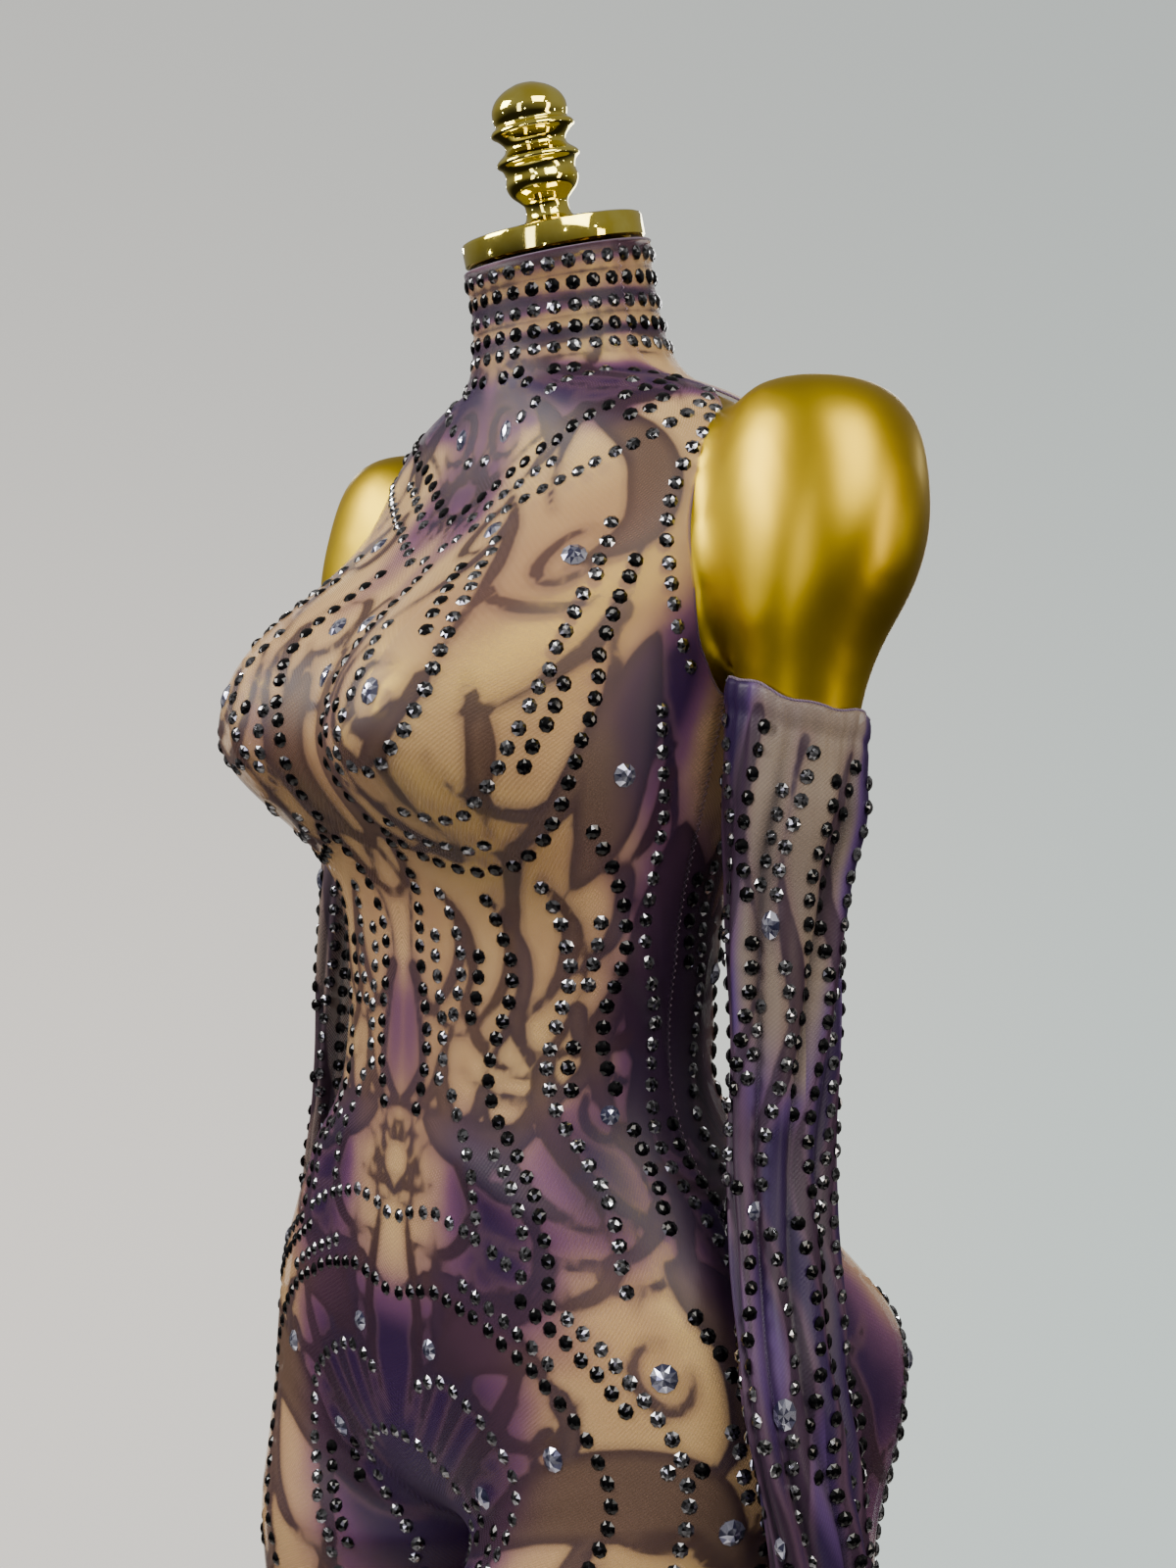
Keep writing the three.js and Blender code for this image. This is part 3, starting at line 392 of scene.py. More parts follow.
def stretch_mesh(name, pale, warm, mauve, dark, sheer):
    """Printed power mesh: soft, a little glossy where it is tight, and see-through between threads, with
    painted shade darkening a sleeve's fold valleys.
    """
    material, tree, shader = new_material(name, Roughness=0.48, Sheen_Weight=0.03, Sheen_Roughness=0.4,
                                          Specular_IOR_Level=0.33)
    shader.inputs["Sheen Tint"].default_value = linear("#d8cbe0")
    colours = add(tree, {}, "ShaderNodeVertexColor", "Color", layer_name="print")
    stroke = add(tree, {0: colours}, "ShaderNodeSeparateColor", "Red")
    violet, tint = stroke.node.outputs["Green"], stroke.node.outputs["Blue"]
    place = add(tree, {}, "ShaderNodeUVMap", "UV", uv_map="cloth")
    cloudy = add(tree, {"Vector": place, "Scale": 9.0, "Detail": 3.0}, **NOISE)
    soft = add(tree, {"Vector": place, "Scale": 34.0, "Detail": 2.0}, **NOISE)
    clouds = add(tree, {0: cloudy, 1: 0.35, 2: 0.65}, **RAMP)
    nude = add(tree, {0: clouds, 6: linear(pale), 7: linear(warm)}, **MIX)
    drift = add(tree, {0: cloudy, 1: 0.3, 2: 0.7, 3: -0.1, 4: 0.1}, **RAMP)
    zone = add(tree, {0: violet, 1: drift}, **MATH, operation="ADD")
    light_share = add(tree, {0: zone, 1: 0.12, 2: 0.5}, **RAMP)
    light = add(tree, {0: light_share, 6: nude, 7: linear(mauve)}, **MIX)
    deep_share = add(tree, {0: zone, 1: 0.4, 2: 0.74}, **RAMP)
    ground = add(tree, {0: deep_share, 6: light, 7: linear(dark)}, **MIX)
    ragged = add(tree, {0: soft, 1: 0.3, 2: 0.7, 3: -0.012, 4: 0.012}, **RAMP)
    edge = add(tree, {0: stroke, 1: ragged}, **MATH, operation="ADD")
    halo_share = add(tree, {0: edge, 1: 0.5, 2: 0.62, 3: 0.34, 4: 0.0}, **RAMP)
    halo = add(tree, {0: halo_share, 6: ground, 7: linear("#6a4c52")}, **MIX)
    ink = add(tree, {0: tint, 6: linear("#2c161d"), 7: linear("#1d0f2b")}, **MIX)
    ink_edge = add(tree, {0: edge, 1: 0.468, 2: 0.522, 3: 0.95, 4: 0.0}, **RAMP)
    rim = add(tree, {0: edge, 1: 0.3, 2: 0.48, 3: 0.88, 4: 1.0}, **RAMP)
    faded = add(tree, {0: cloudy, 1: 0.3, 2: 0.7, 3: 1.0, 4: 0.86}, **RAMP)
    depth = add(tree, {0: rim, 1: faded}, **MATH, operation="MULTIPLY")
    ink_share = add(tree, {0: ink_edge, 1: depth}, **MATH, operation="MULTIPLY")
    printed = add(tree, {0: ink_share, 6: halo, 7: ink}, **MIX)
    scale = (1000 / WEAVE_MM,) * 3
    turned = add(tree, {"Vector": place, "Rotation": (0, 0, math.radians(38)), "Scale": scale}, **MAPPING)
    thread = {"Vector": turned, "Distortion": 0.5, "Detail": 1.0, "Detail Scale": 0.4}
    rib = add(tree, {**thread, "Scale": ONE_BAND}, **WAVE, bands_direction="X")
    cross = add(tree, {**thread, "Scale": 0.2}, **WAVE, bands_direction="Y")
    half_cross = add(tree, {0: cross, 1: 0.5, 2: 0.5}, **MATH, operation="MULTIPLY_ADD")
    weave = add(tree, {0: rib, 1: half_cross}, **MATH, operation="MULTIPLY")
    gap_share = add(tree, {0: weave, 1: 0.1, 2: 0.7, 3: 0.08, 4: 0.0}, **RAMP)
    knitted = add(tree, {0: gap_share, 6: printed, 7: linear("#2c1f26")}, **MIX)
    # Painted shade: where the print's fourth value falls below 1, in a sleeve's fold valleys, the colour
    # darkens towards near-black violet.
    fold_light_left = colours.node.outputs["Alpha"]
    colour = add(tree, {0: fold_light_left, 6: linear("#140c1c"), 7: knitted}, **MIX)
    inked = add(tree, {0: edge, 1: 0.46, 2: 0.53, 3: 0.9, 4: 0.0}, **RAMP)
    closed = add(tree, {0: violet, 1: inked}, **MATH, operation="MAXIMUM")
    knit = add(tree, {0: weave, 1: 0.1, 2: 0.9, 3: sheer - 0.04, 4: sheer + 0.04}, **RAMP)
    cover = add(tree, {0: closed, 1: 0.42, 2: knit}, **MATH, operation="MULTIPLY_ADD")
    alpha = add(tree, {0: cover, 1: 1.0}, **MATH, operation="MINIMUM")
    normal = add(tree, {"Height": weave, "Strength": 0.16, "Distance": 0.0004}, **BUMP)
    wire(tree, shader, {"Base Color": colour, "Alpha": alpha, "Normal": normal})
    return material


def gold_paint():
    """Satin gold lacquer on a moulded form: metallic, with a soft uneven gloss and fine orange peel."""
    material, tree, shader = new_material("satin gold lacquer", Metallic=1.0)
    place = add(tree, {}, **PLACE)
    broad = add(tree, {"Vector": place, "Scale": 7.0, "Detail": 3.0}, **NOISE)
    peel = add(tree, {"Vector": place, "Scale": 420.0, "Detail": 1.0}, **NOISE)
    dents = add(tree, {"Vector": place, "Scale": 40.0, "Detail": 2.0}, **NOISE)
    share = add(tree, {0: broad, 1: 0.3, 2: 0.7}, **RAMP)
    colour = add(tree, {0: share, 6: linear("#a68a10"), 7: linear("#b99f1c")}, **MIX)
    rough = add(tree, {0: broad, 1: 0.3, 2: 0.7, 3: 0.38, 4: 0.46}, **RAMP)
    height = add(tree, {0: peel, 1: 0.06, 2: dents}, **MATH, operation="MULTIPLY_ADD")
    normal = add(tree, {"Height": height, "Strength": 0.05, "Distance": 0.002}, **BUMP)
    wire(tree, shader, {"Base Color": colour, "Roughness": rough, "Normal": normal})
    return material


def plated(name, low, high, roughness):
    """Plated metal, polished: nearly a mirror, with faint wiping marks."""
    material, tree, shader = new_material(name, Metallic=1.0)
    place = add(tree, {}, **PLACE)
    smear = add(tree, {"Vector": place, "Scale": 60.0, "Detail": 4.0}, **NOISE)
    share = add(tree, {0: smear, 1: 0.3, 2: 0.7}, **RAMP)
    colour = add(tree, {0: share, 6: linear(low), 7: linear(high)}, **MIX)
    rough = add(tree, {0: smear, 1: 0.35, 2: 0.75, 3: roughness, 4: roughness + 0.07}, **RAMP)
    normal = add(tree, {"Height": smear, "Strength": 0.04, "Distance": 0.001}, **BUMP)
    wire(tree, shader, {"Base Color": colour, "Roughness": rough, "Normal": normal})
    return material


def woven_tape(name, low, high):
    """Narrow woven tape or elastic: matt, with fine cross ribs."""
    material, tree, shader = new_material(name, Roughness=0.75, Sheen_Weight=0.3)
    place = add(tree, {}, **PLACE)
    ribs = add(tree, {"Vector": place, "Scale": (1000 / RIB_MM,) * 3}, **MAPPING)
    drawn = {"Vector": ribs, "Scale": ONE_BAND, "Distortion": 0.4}
    weave = add(tree, drawn, **WAVE, bands_direction="DIAGONAL")
    colour = add(tree, {0: weave, 6: linear(low), 7: linear(high)}, **MIX)
    normal = add(tree, {"Height": weave, "Strength": 0.4, "Distance": 0.0003}, **BUMP)
    wire(tree, shader, {"Base Color": colour, "Normal": normal})
    return material


def brushed_steel():
    """Steel brushed in one direction, with a satin grey gloss."""
    material, tree, shader = new_material("brushed steel", Metallic=1.0)
    place = add(tree, {}, **PLACE)
    drawn = add(tree, {"Vector": place, "Scale": (900, 25, 25)}, **MAPPING)
    grain = add(tree, {"Vector": drawn, "Scale": 1.0, "Detail": 3.0}, **NOISE)
    colour = add(tree, {0: grain, 6: linear("#8f9092"), 7: linear("#b5b5b3")}, **MIX)
    rough = add(tree, {0: grain, 1: 0.3, 2: 0.7, 3: 0.24, 4: 0.4}, **RAMP)
    normal = add(tree, {"Height": grain, "Strength": 0.1, "Distance": 0.0005}, **BUMP)
    wire(tree, shader, {"Base Color": colour, "Roughness": rough, "Normal": normal})
    return material


def cut_glass(name, dark, bright, roughness, metallic, coat, gloss):
    """Foiled cut glass: each facet has its own brightness in its colour, a painted reflection that stands
    for the inner reflections.
    """
    material, tree, shader = new_material(
        name, Roughness=roughness, Metallic=metallic, Coat_Weight=coat, Coat_Roughness=0.03,
        Specular_IOR_Level=gloss)
    facet = add(tree, {}, "ShaderNodeAttribute", "Fac", attribute_name="facet")
    colour = add(tree, {0: facet, 6: linear(dark), 7: linear(bright)}, **MIX)
    wire(tree, shader, {"Base Color": colour})
    return material


# A power mesh has about three threads to a millimetre, and a tape two ribs. Both are too fine to show,
# so they are drawn coarser. A wave texture makes one band to a unit at a scale of 0.314.
WEAVE_MM = 1.4
RIB_MM = 0.9
ONE_BAND = 0.314
MESH_BODY = stretch_mesh("printed power mesh", "#dcb782", "#c09672", "#6f4569", "#29113c", 0.36)
MESH_SLEEVE = stretch_mesh("sheer sleeve mesh", "#897a6b", "#71635f", "#4e3768", "#200d38", 0.64)
GOLD_PAINT = gold_paint()
POLISHED_GOLD = plated("polished gold plate", "#ead54e", "#f6e878", 0.04)
NICKEL = plated("polished nickel plate", "#b9b6b0", "#cfccc6", 0.09)
EDGE_TAPE = woven_tape("edge elastic", "#3d2c46", "#5d4a62")
ZIP_TAPE = woven_tape("woven zip tape", "#2c1d3b", "#43305a")
THREAD = woven_tape("twisted overlock thread", "#6d5568", "#947b8c")
BRUSHED_STEEL = brushed_steel()
GLASS = {
    "jet": cut_glass("jet glass", "#010102", "#08080a", 0.1, 0.0, 0.0, 0.32),
    "smoke": cut_glass("black diamond glass", "#09090b", "#a6a7ad", 0.08, 0.9, 0.5, 0.5),
    "crystal": cut_glass("pale lilac crystal", "#3f4160", "#e4e6f6", 0.05, 0.75, 0.6, 0.5),
}


# Print and stones: one table of lines on the left half, mirrored on the right. Each line has its stone,
# the width of the painted stroke beside it (0 for none), its count of side hooks, and lattice places.
LINES = (
    ("smoke", 0, 0, ((0.47, 1391), (0.33, 1372), (0.17, 1338), (0.0, 1296))),
    ("jet", 9, 2, ((0.42, 1398), (0.27, 1386), (0.13, 1358), (0.0, 1322))),
    ("smoke", 0, 0, ((0.34, 1407), (0.2, 1399), (0.09, 1379), (0.0, 1352))),
    ("smoke", 0, 0, ((0.415, 1381), (0.335, 1357), (0.312, 1335), (0.318, 1312), (0.358, 1282),
                     (0.405, 1257), (0.45, 1240))),
    ("jet", 16, 5, ((0.30, 1300), (0.315, 1262), (0.335, 1222), (0.32, 1182), (0.268, 1152), (0.2, 1141),
                    (0.12, 1150), (0.05, 1172))),
    ("smoke", 0, 0, ((0.255, 1318), (0.28, 1275), (0.29, 1232), (0.272, 1192), (0.22, 1168), (0.15, 1172))),
    ("smoke", 12, 4, ((0.09, 1338), (0.15, 1300), (0.205, 1258), (0.215, 1218), (0.17, 1190), (0.11, 1198))),
    ("jet", 10, 4, ((0.045, 1296), (0.075, 1252), (0.05, 1202), (0.075, 1150), (0.05, 1098), (0.07, 1046),
                    (0.04, 1008))),
    ("smoke", 0, 0, ((0.12, 1262), (0.14, 1228), (0.1, 1190), (0.075, 1225))),
    ("smoke", 13, 4, ((0.115, 1132), (0.14, 1090), (0.115, 1042), (0.15, 992), (0.135, 945))),
    ("jet", 12, 4, ((0.185, 1130), (0.215, 1085), (0.185, 1032), (0.225, 980), (0.21, 930))),
    ("smoke", 14, 4, ((0.26, 1138), (0.29, 1090), (0.262, 1036), (0.305, 985), (0.29, 935))),
    ("jet", 15, 4, ((0.335, 1166), (0.37, 1112), (0.342, 1056), (0.388, 1003), (0.375, 962))),
    ("smoke", 14, 5, ((0.41, 1228), (0.44, 1172), (0.408, 1112), (0.45, 1058), (0.43, 1006), (0.475, 952),
                      (0.455, 902))),
    ("smoke", 0, 0, ((0.0, 955), (0.08, 962), (0.16, 950), (0.25, 915), (0.32, 868), (0.36, 815),
                     (0.37, 765))),
    ("jet", 18, 5, ((0.0, 915), (0.08, 922), (0.16, 905), (0.23, 870), (0.28, 825), (0.29, 775),
                    (0.25, 725))),
    ("smoke", 12, 3, ((0.02, 868), (0.07, 876), (0.13, 858), (0.18, 822), (0.2, 780), (0.17, 735))),
    ("smoke", 0, 0, ((0.0, 840), (0.05, 830), (0.1, 800), (0.115, 765), (0.09, 728))),
    ("jet", 20, 5, ((0.36, 935), (0.42, 890), (0.45, 840), (0.435, 790), (0.37, 752), (0.29, 738))),
    ("smoke", 0, 0, ((0.5, 890), (0.52, 850), (0.5, 800), (0.46, 758), (0.4, 722), (0.33, 700))),
    ("jet", 0, 0, ((0.3, 895), (0.335, 868), (0.37, 862))),
    ("jet", 0, 0, ((0.3, 1379), (0.255, 1373), (0.285, 1360), (0.24, 1350))),
    ("jet", 8, 2, ((0.03, 1409), (0.16, 1411), (0.32, 1407), (0.46, 1400))),
    # legs
    ("smoke", 14, 5, ((0.14, 700), (0.25, 650), (0.35, 600), (0.32, 540), (0.22, 490), (0.2, 430),
                      (0.3, 370))),
    ("jet", 12, 4, ((0.05, 660), (0.1, 600), (0.2, 560), (0.12, 500), (0.08, 440), (0.18, 390))),
    ("jet", 14, 5, ((0.45, 690), (0.42, 630), (0.47, 560), (0.42, 490), (0.48, 420), (0.42, 350),
                    (0.48, 280))),
    ("smoke", 12, 4, ((0.32, 350), (0.2, 300), (0.22, 240), (0.34, 190), (0.3, 130))),
    ("jet", 10, 3, ((0.1, 330), (0.12, 270), (0.06, 210), (0.14, 150))),
    ("smoke", 0, 0, ((0.44, 260), (0.4, 210), (0.46, 150), (0.42, 110))),
    # back
    ("smoke", 0, 0, ((0.6, 1382), (0.695, 1360), (0.728, 1338), (0.72, 1312), (0.675, 1284), (0.612, 1257),
                     (0.55, 1238))),
    ("jet", 16, 5, ((0.78, 1368), (0.85, 1340), (0.9, 1300), (0.9, 1255), (0.85, 1215), (0.76, 1190),
                    (0.66, 1180))),
    ("smoke", 14, 4, ((0.77, 1322), (0.81, 1292), (0.82, 1258), (0.77, 1232), (0.69, 1224))),
    ("smoke", 0, 0, ((0.955, 1262), (0.94, 1200), (0.96, 1140), (0.94, 1080), (0.96, 1020), (0.945, 960))),
    ("jet", 14, 4, ((0.89, 1200), (0.87, 1150), (0.9, 1095), (0.87, 1040), (0.9, 985), (0.87, 940))),
    ("smoke", 14, 4, ((0.8, 1165), (0.78, 1115), (0.81, 1060), (0.78, 1005), (0.8, 955))),
    ("jet", 13, 4, ((0.7, 1155), (0.68, 1105), (0.71, 1050), (0.68, 1000), (0.7, 950))),
    ("smoke", 13, 4, ((0.6, 1190), (0.58, 1130), (0.61, 1070), (0.57, 1010), (0.6, 950))),
    ("smoke", 0, 0, ((0.99, 935), (0.92, 918), (0.82, 900), (0.72, 870), (0.65, 820), (0.62, 765))),
    ("jet", 18, 5, ((0.97, 890), (0.9, 872), (0.81, 850), (0.74, 810), (0.72, 765), (0.76, 720))),
    ("smoke", 14, 4, ((0.95, 845), (0.89, 830), (0.83, 800), (0.82, 762), (0.86, 720))),
    ("jet", 16, 4, ((0.56, 930), (0.6, 880), (0.58, 830), (0.6, 780), (0.56, 730))),
    ("smoke", 14, 5, ((0.9, 690), (0.8, 650), (0.7, 600), (0.74, 540), (0.84, 490), (0.8, 430), (0.7, 370))),
    ("jet", 14, 4, ((0.62, 660), (0.56, 600), (0.62, 530), (0.56, 460), (0.62, 390), (0.56, 320))),
    ("smoke", 12, 4, ((0.86, 380), (0.76, 330), (0.72, 270), (0.82, 210), (0.78, 150))),
    ("jet", 10, 3, ((0.6, 280), (0.66, 220), (0.6, 160), (0.64, 110))),
)

# Broad painted leaves: widest half width in millimetres and lattice places
LEAVES = (
    (17, ((0.19, 1385), (0.27, 1352), (0.29, 1315), (0.25, 1290))),
    (24, ((0.37, 1262), (0.375, 1215), (0.35, 1165), (0.29, 1130))),
    (15, ((0.02, 1240), (0.045, 1195), (0.02, 1150))),
    # The widest leaf, down the waist side, is print widened to stand also for the sleeve's shade there:
    # partly print, partly painted shade.
    (34, ((0.48, 1170), (0.5, 1085), (0.5, 1000))),
    (16, ((0.06, 1012), (0.16, 1000), (0.25, 1012))),
    (26, ((0.12, 780), (0.22, 838), (0.35, 850), (0.46, 800))),
    (18, ((0.35, 955), (0.42, 930), (0.47, 880))),
    (20, ((0.05, 880), (0.12, 905), (0.2, 900))),
    (24, ((0.85, 1345), (0.79, 1300), (0.78, 1245))),
    (22, ((0.65, 1130), (0.66, 1060), (0.63, 1000))),
    (26, ((0.92, 860), (0.8, 855), (0.68, 815), (0.62, 760))),
    (20, ((0.96, 1120), (0.95, 1060), (0.97, 1000))),
    (5, ((0.02, 965), (0.035, 905), (0.01, 850))),
    (6, ((0.075, 955), (0.065, 900), (0.02, 838))),
    (6, ((0.13, 940), (0.1, 882), (0.035, 826))),
    (7, ((0.18, 912), (0.13, 862), (0.05, 812))),
    (8, ((0.12, 1392), (0.15, 1366), (0.11, 1340))),
    (9, ((0.24, 1236), (0.262, 1200), (0.24, 1160))),
)

# Painted bands round the neck: height and half width in millimetres
BANDS = ((1475, 4.2), (1464, 2.0), (1452, 4.0), (1441, 2.2), (1430, 4.4), (1418, 1.6))

# Violet zones: lattice place, height, half widths across (in t) and along (mm), strength
VIOLETS = table("t z across along strength", (
    (0.50, 1050, 0.15, 120, 1.0), (0.56, 920, 0.11, 120, 1.0), (0.0, 850, 0.15, 80, 1.0),
    (0.1, 1392, 0.14, 24, 0.7), (0.04, 1300, 0.05, 50, 0.4), (0.08, 780, 0.13, 60, 0.9),
    (0.33, 1398, 0.24, 15, 1.0), (0.0, 1340, 0.10, 34, 0.5),
    (0.42, 1228, 0.06, 60, 0.8), (0.16, 965, 0.08, 50, 0.75), (0.02, 1060, 0.05, 60, 0.35),
    (0.3, 990, 0.07, 34, 0.7), (0.22, 1385, 0.06, 24, 0.6), (0.1, 1225, 0.04, 40, 0.35),
    (0.0, 1450, 1.2, 5, 0.9), (0.0, 1432, 1.2, 4, 0.8), (0.0, 1474, 1.2, 5, 0.8),
    (0.95, 1050, 0.10, 130, 0.75), (0.86, 1290, 0.10, 70, 0.7), (0.95, 800, 0.16, 80, 0.9),
    (0.70, 870, 0.09, 80, 0.5), (0.5, 640, 0.16, 90, 0.8), (0.1, 560, 0.14, 80, 0.7),
    (0.8, 500, 0.16, 90, 0.7), (0.4, 380, 0.14, 80, 0.7), (0.95, 330, 0.2, 70, 0.7),
    (0.05, 250, 0.16, 80, 0.7), (0.5, 170, 0.2, 70, 0.8), (0.2, 90, 0.7, 34, 0.8),
))
# Large crystals on the left half: lattice place, height, half width and half length in millimetres
CRYSTALS = (
    (0.245, 1296, 6.5, 6.5), (0.055, 1372, 4.5, 6.5), (0.12, 1312, 4.8, 6.8), (0.165, 1226, 5.0, 7.0),
    (0.03, 1262, 4.8, 7.0), (0.38, 1190, 6.0, 6.0), (0.0, 1236, 5.0, 7.0), (0.31, 905, 6.8, 6.8),
    (0.2, 858, 6.2, 6.2), (0.4, 836, 6.6, 6.6), (0.12, 824, 6.0, 6.0), (0.345, 1020, 5.0, 5.0),
    (0.05, 892, 5.5, 5.5), (0.84, 1268, 6.5, 6.5), (0.86, 1100, 6, 6), (0.66, 1088, 6, 6),
    (0.78, 868, 6.8, 6.8), (0.88, 800, 6.2, 6.2), (0.27, 640, 6.2, 6.2), (0.74, 630, 6.2, 6.2),
    (0.14, 520, 6, 6), (0.8, 460, 6, 6), (0.26, 400, 6, 6), (0.3, 230, 5.5, 5.5),
)
# Rows of stones round the funnel neck: height and stone
COLLAR_ROWS = ((1471, "smoke"), (1459, "jet"), (1447, "smoke"), (1435, "jet"), (1424, "smoke"))
# Rosette on the belly and half flower on the chest: height, petals, reach and how far the petals curl
FLOWERS = ((985, 8, 30, 0.9), (1336, 10, 32, 0.25))
FLOWER_RING = 11
STONE_STEP = 10.7
SECOND_ROW = 11.5
STONE_RADIUS = {"jet": 4.15, "smoke": 4.05}
# Beyond this distance from a stroke, in millimetres, the print takes no notice of it
PRINT_REACH = 40


def curve_through(points, count):
    """Evenly numbered samples of a smooth curve through lattice places."""
    rows = {"z": np.array([p[1] for p in points], float), "t": np.array([p[0] for p in points], float)}
    found = read_smooth(rows, np.linspace(0, len(points) - 1, count))
    return found["t"], found["z"]


def walk(points, step, place):
    """Samples at equal steps along a smooth curve through lattice places."""
    return steps_along(*curve_through(points, 60 * len(points)), step, place)


def steps_along(t, z, step, place):
    """Samples at equal steps along a curve that is already sampled."""
    spots, _ = place(t, z)
    run = np.concatenate([[0], np.cumsum(np.linalg.norm(np.diff(spots, axis=0), axis=1))])
    stops = np.arange(step / 2, run[-1], step)
    return np.interp(stops, run, t), np.interp(stops, run, z)


def steps_on_body(t, z):
    """Millimetres for one unit across at a lattice place."""
    t, z = np.asarray(t, float), np.asarray(z, float)
    across = np.linalg.norm(body_point(t + 0.01, z) - body_point(t - 0.01, z), axis=-1) / 0.02
    return np.maximum(across, 60)


def beside(t, z, shift):
    """A curve moved sideways on the body by a distance in millimetres, its directions and its scale."""
    scale = steps_on_body(t, z)
    across, along = np.gradient(t) * scale, np.gradient(z)
    length = np.hypot(across, along)
    moved_t = t - along / length * shift / scale
    moved_z = z + across / length * shift
    return moved_t, moved_z, np.arctan2(along, across), scale


def hook(t, z, way, scale, number, wide):
    """A short curl that leaves a painted stroke to one side and runs out to a point."""
    turn = (1 if number % 2 else -1) * np.linspace(0.25, 1.5 + 0.5 * (number % 3), 20)
    reach = np.linspace(2.6, 2.2, 20) * (1 + wide / 26)
    hook_t = t + np.cumsum(np.cos(way + turn) * reach) / scale
    hook_z = z + np.cumsum(np.sin(way + turn) * reach)
    return hook_t, hook_z, wide * 0.36 * np.linspace(1, 0, 20) ** 0.8 + 0.7


def flower(middle, petals, reach, curl):
    """A ring on the centre line with curved petals turned round it."""
    scale = float(steps_on_body(0.02, middle))
    turn = np.linspace(0, 2 * np.pi, 40)
    ring_t = np.abs(np.cos(turn)) * FLOWER_RING / scale
    made = [(ring_t, middle + np.sin(turn) * FLOWER_RING, np.full(40, 1.9))]
    s = np.linspace(0, 1, 16)
    for k in range(petals):
        way = 2 * np.pi * (k + 0.5) / petals + curl * s
        out = 12 + (reach - 12) * s * (1 - 0.25 * (k % 2))
        petal_t = np.abs(np.cos(way)) * out / scale
        made.append((petal_t, middle + np.sin(way) * out, 2.4 * (1 - s) ** 0.7 + 0.7))
    return made


def strokes():
    """Every painted stroke as lattice samples with a half width in millimetres."""
    made = []
    for _, wide, hooks, points in LINES:
        if not wide:
            continue
        t, z = curve_through(points, 24 * len(points))
        s = np.linspace(0, 1, len(t))
        moved_t, moved_z, way, scale = beside(t, z, 7.5 * np.sin(np.pi * s * 2.2))
        taper = np.sin(np.pi * s) ** 0.6 * (0.55 + 0.45 * np.sin(11 * s + wide))
        made.append((moved_t, moved_z, wide * 0.47 * taper + 0.8))
        for k in range(hooks + 1):
            at = int((k + 0.7) / (hooks + 1.4) * len(t))
            made.append(hook(moved_t[at], moved_z[at], way[at], scale[at], k, wide))
    for wide, points in LEAVES:
        t, z = curve_through(points, 30 * len(points))
        s = np.linspace(0, 1, len(t))
        made.append((t, z, wide * np.sin(np.pi * s) ** 1.2 * (1 - 0.35 * s) + 0.3))
    for t, z, wide, high in CRYSTALS:
        turn = np.linspace(0.5, 5.6, 34) + 3 * t
        ring_t = t + np.cos(turn) * (wide + 7) / float(steps_on_body(t, z))
        crescent = 3.4 * np.sin(np.linspace(0.25, 2.9, 34)) + 0.3
        made.append((ring_t, z + np.sin(turn) * (high + 8), crescent))
    for z, wide in BANDS:
        t = np.linspace(0, 1, 150)
        made.append((t, z + 1.5 * np.sin(9 * t + z), wide * (0.8 + 0.2 * np.sin(17 * t + z))))
    for row in FLOWERS:
        made += flower(*row)
    return made


def edge_value(distance):
    """A distance from a stroke's edge in millimetres as a print value: 0.5 is the edge itself."""
    return np.clip(distance / PRINT_REACH + 0.5, 0, 1)


def violet_share(t, z):
    """How violet the ground is at lattice places, from the table of zones."""
    violet = np.zeros(len(t))
    for v in rows_of(VIOLETS):
        off = (t - v["t"]) / v["across"]
        if v["t"] == 0:
            off = np.minimum(t, 1.2 - t if v["across"] < 1 else t) / v["across"]
        share = v["strength"] * np.exp(-(off**2) - ((z - v["z"]) / v["along"]) ** 2)
        violet = 1 - (1 - violet) * (1 - share)
    return violet


def painted(t, z):
    """Print values at lattice places: stroke edge distance, violet share, tint of the stroke and 1, for no
    painted fold shade.
    """
    here = body_point(t, z)
    best = np.full(len(t), float(PRINT_REACH))
    tint = np.zeros(len(t))
    for number, (st, sz, radius) in enumerate(STROKES):
        spots = body_point(np.clip(np.abs(st), 0, 1), np.clip(sz, HEM_Z, NECK_Z))
        low, high = spots.min(0) - 30, spots.max(0) + 30
        near = np.all((here > low) & (here < high), axis=1)
        if not near.any():
            continue
        gap = np.linalg.norm(here[near][:, None] - spots[None], axis=2) - radius[None]
        least = gap.min(1)
        closer = least < best[near]
        index = np.flatnonzero(near)[closer]
        best[index] = least[closer]
        tint[index] = (number * 7 % 5) / 5
    violet = violet_share(t, z)
    return np.stack([edge_value(best), violet, np.clip(tint + violet * 0.5, 0, 1), np.ones(len(t))], 1)


STROKES = strokes()


# Cloth sheets

def add_object(name, mesh, material, body=BODY):
    """Links a finished mesh as a piece that rides on a body."""
    piece = bpy.data.objects.new(name, mesh)
    bpy.context.scene.collection.objects.link(piece)
    mesh.materials.append(material)
    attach(piece, body)
    return piece


def finished(bm, name, smooth=True):
    """A mesh from a bmesh, with outward faces."""
    bmesh.ops.recalc_face_normals(bm, faces=bm.faces)
    for face in bm.faces:
        face.smooth = smooth
    mesh = bpy.data.meshes.new(name)
    bm.to_mesh(mesh)
    bm.free()
    return mesh


def applied(piece):
    """Replaces a piece's mesh by the one that its modifiers make."""
    graph = bpy.context.evaluated_depsgraph_get()
    mesh = bpy.data.meshes.new_from_object(piece.evaluated_get(graph), depsgraph=graph)
    old = piece.data
    piece.modifiers.clear()
    piece.data = mesh
    bpy.data.meshes.remove(old)


def thicken(piece, thickness, offset):
    """Gives a sheet its thickness in millimetres, on the side that the offset says."""
    solid = piece.modifiers.new("thickness", "SOLIDIFY")
    solid.thickness = thickness * MM
    solid.offset = offset
    solid.use_even_offset = False
    applied(piece)


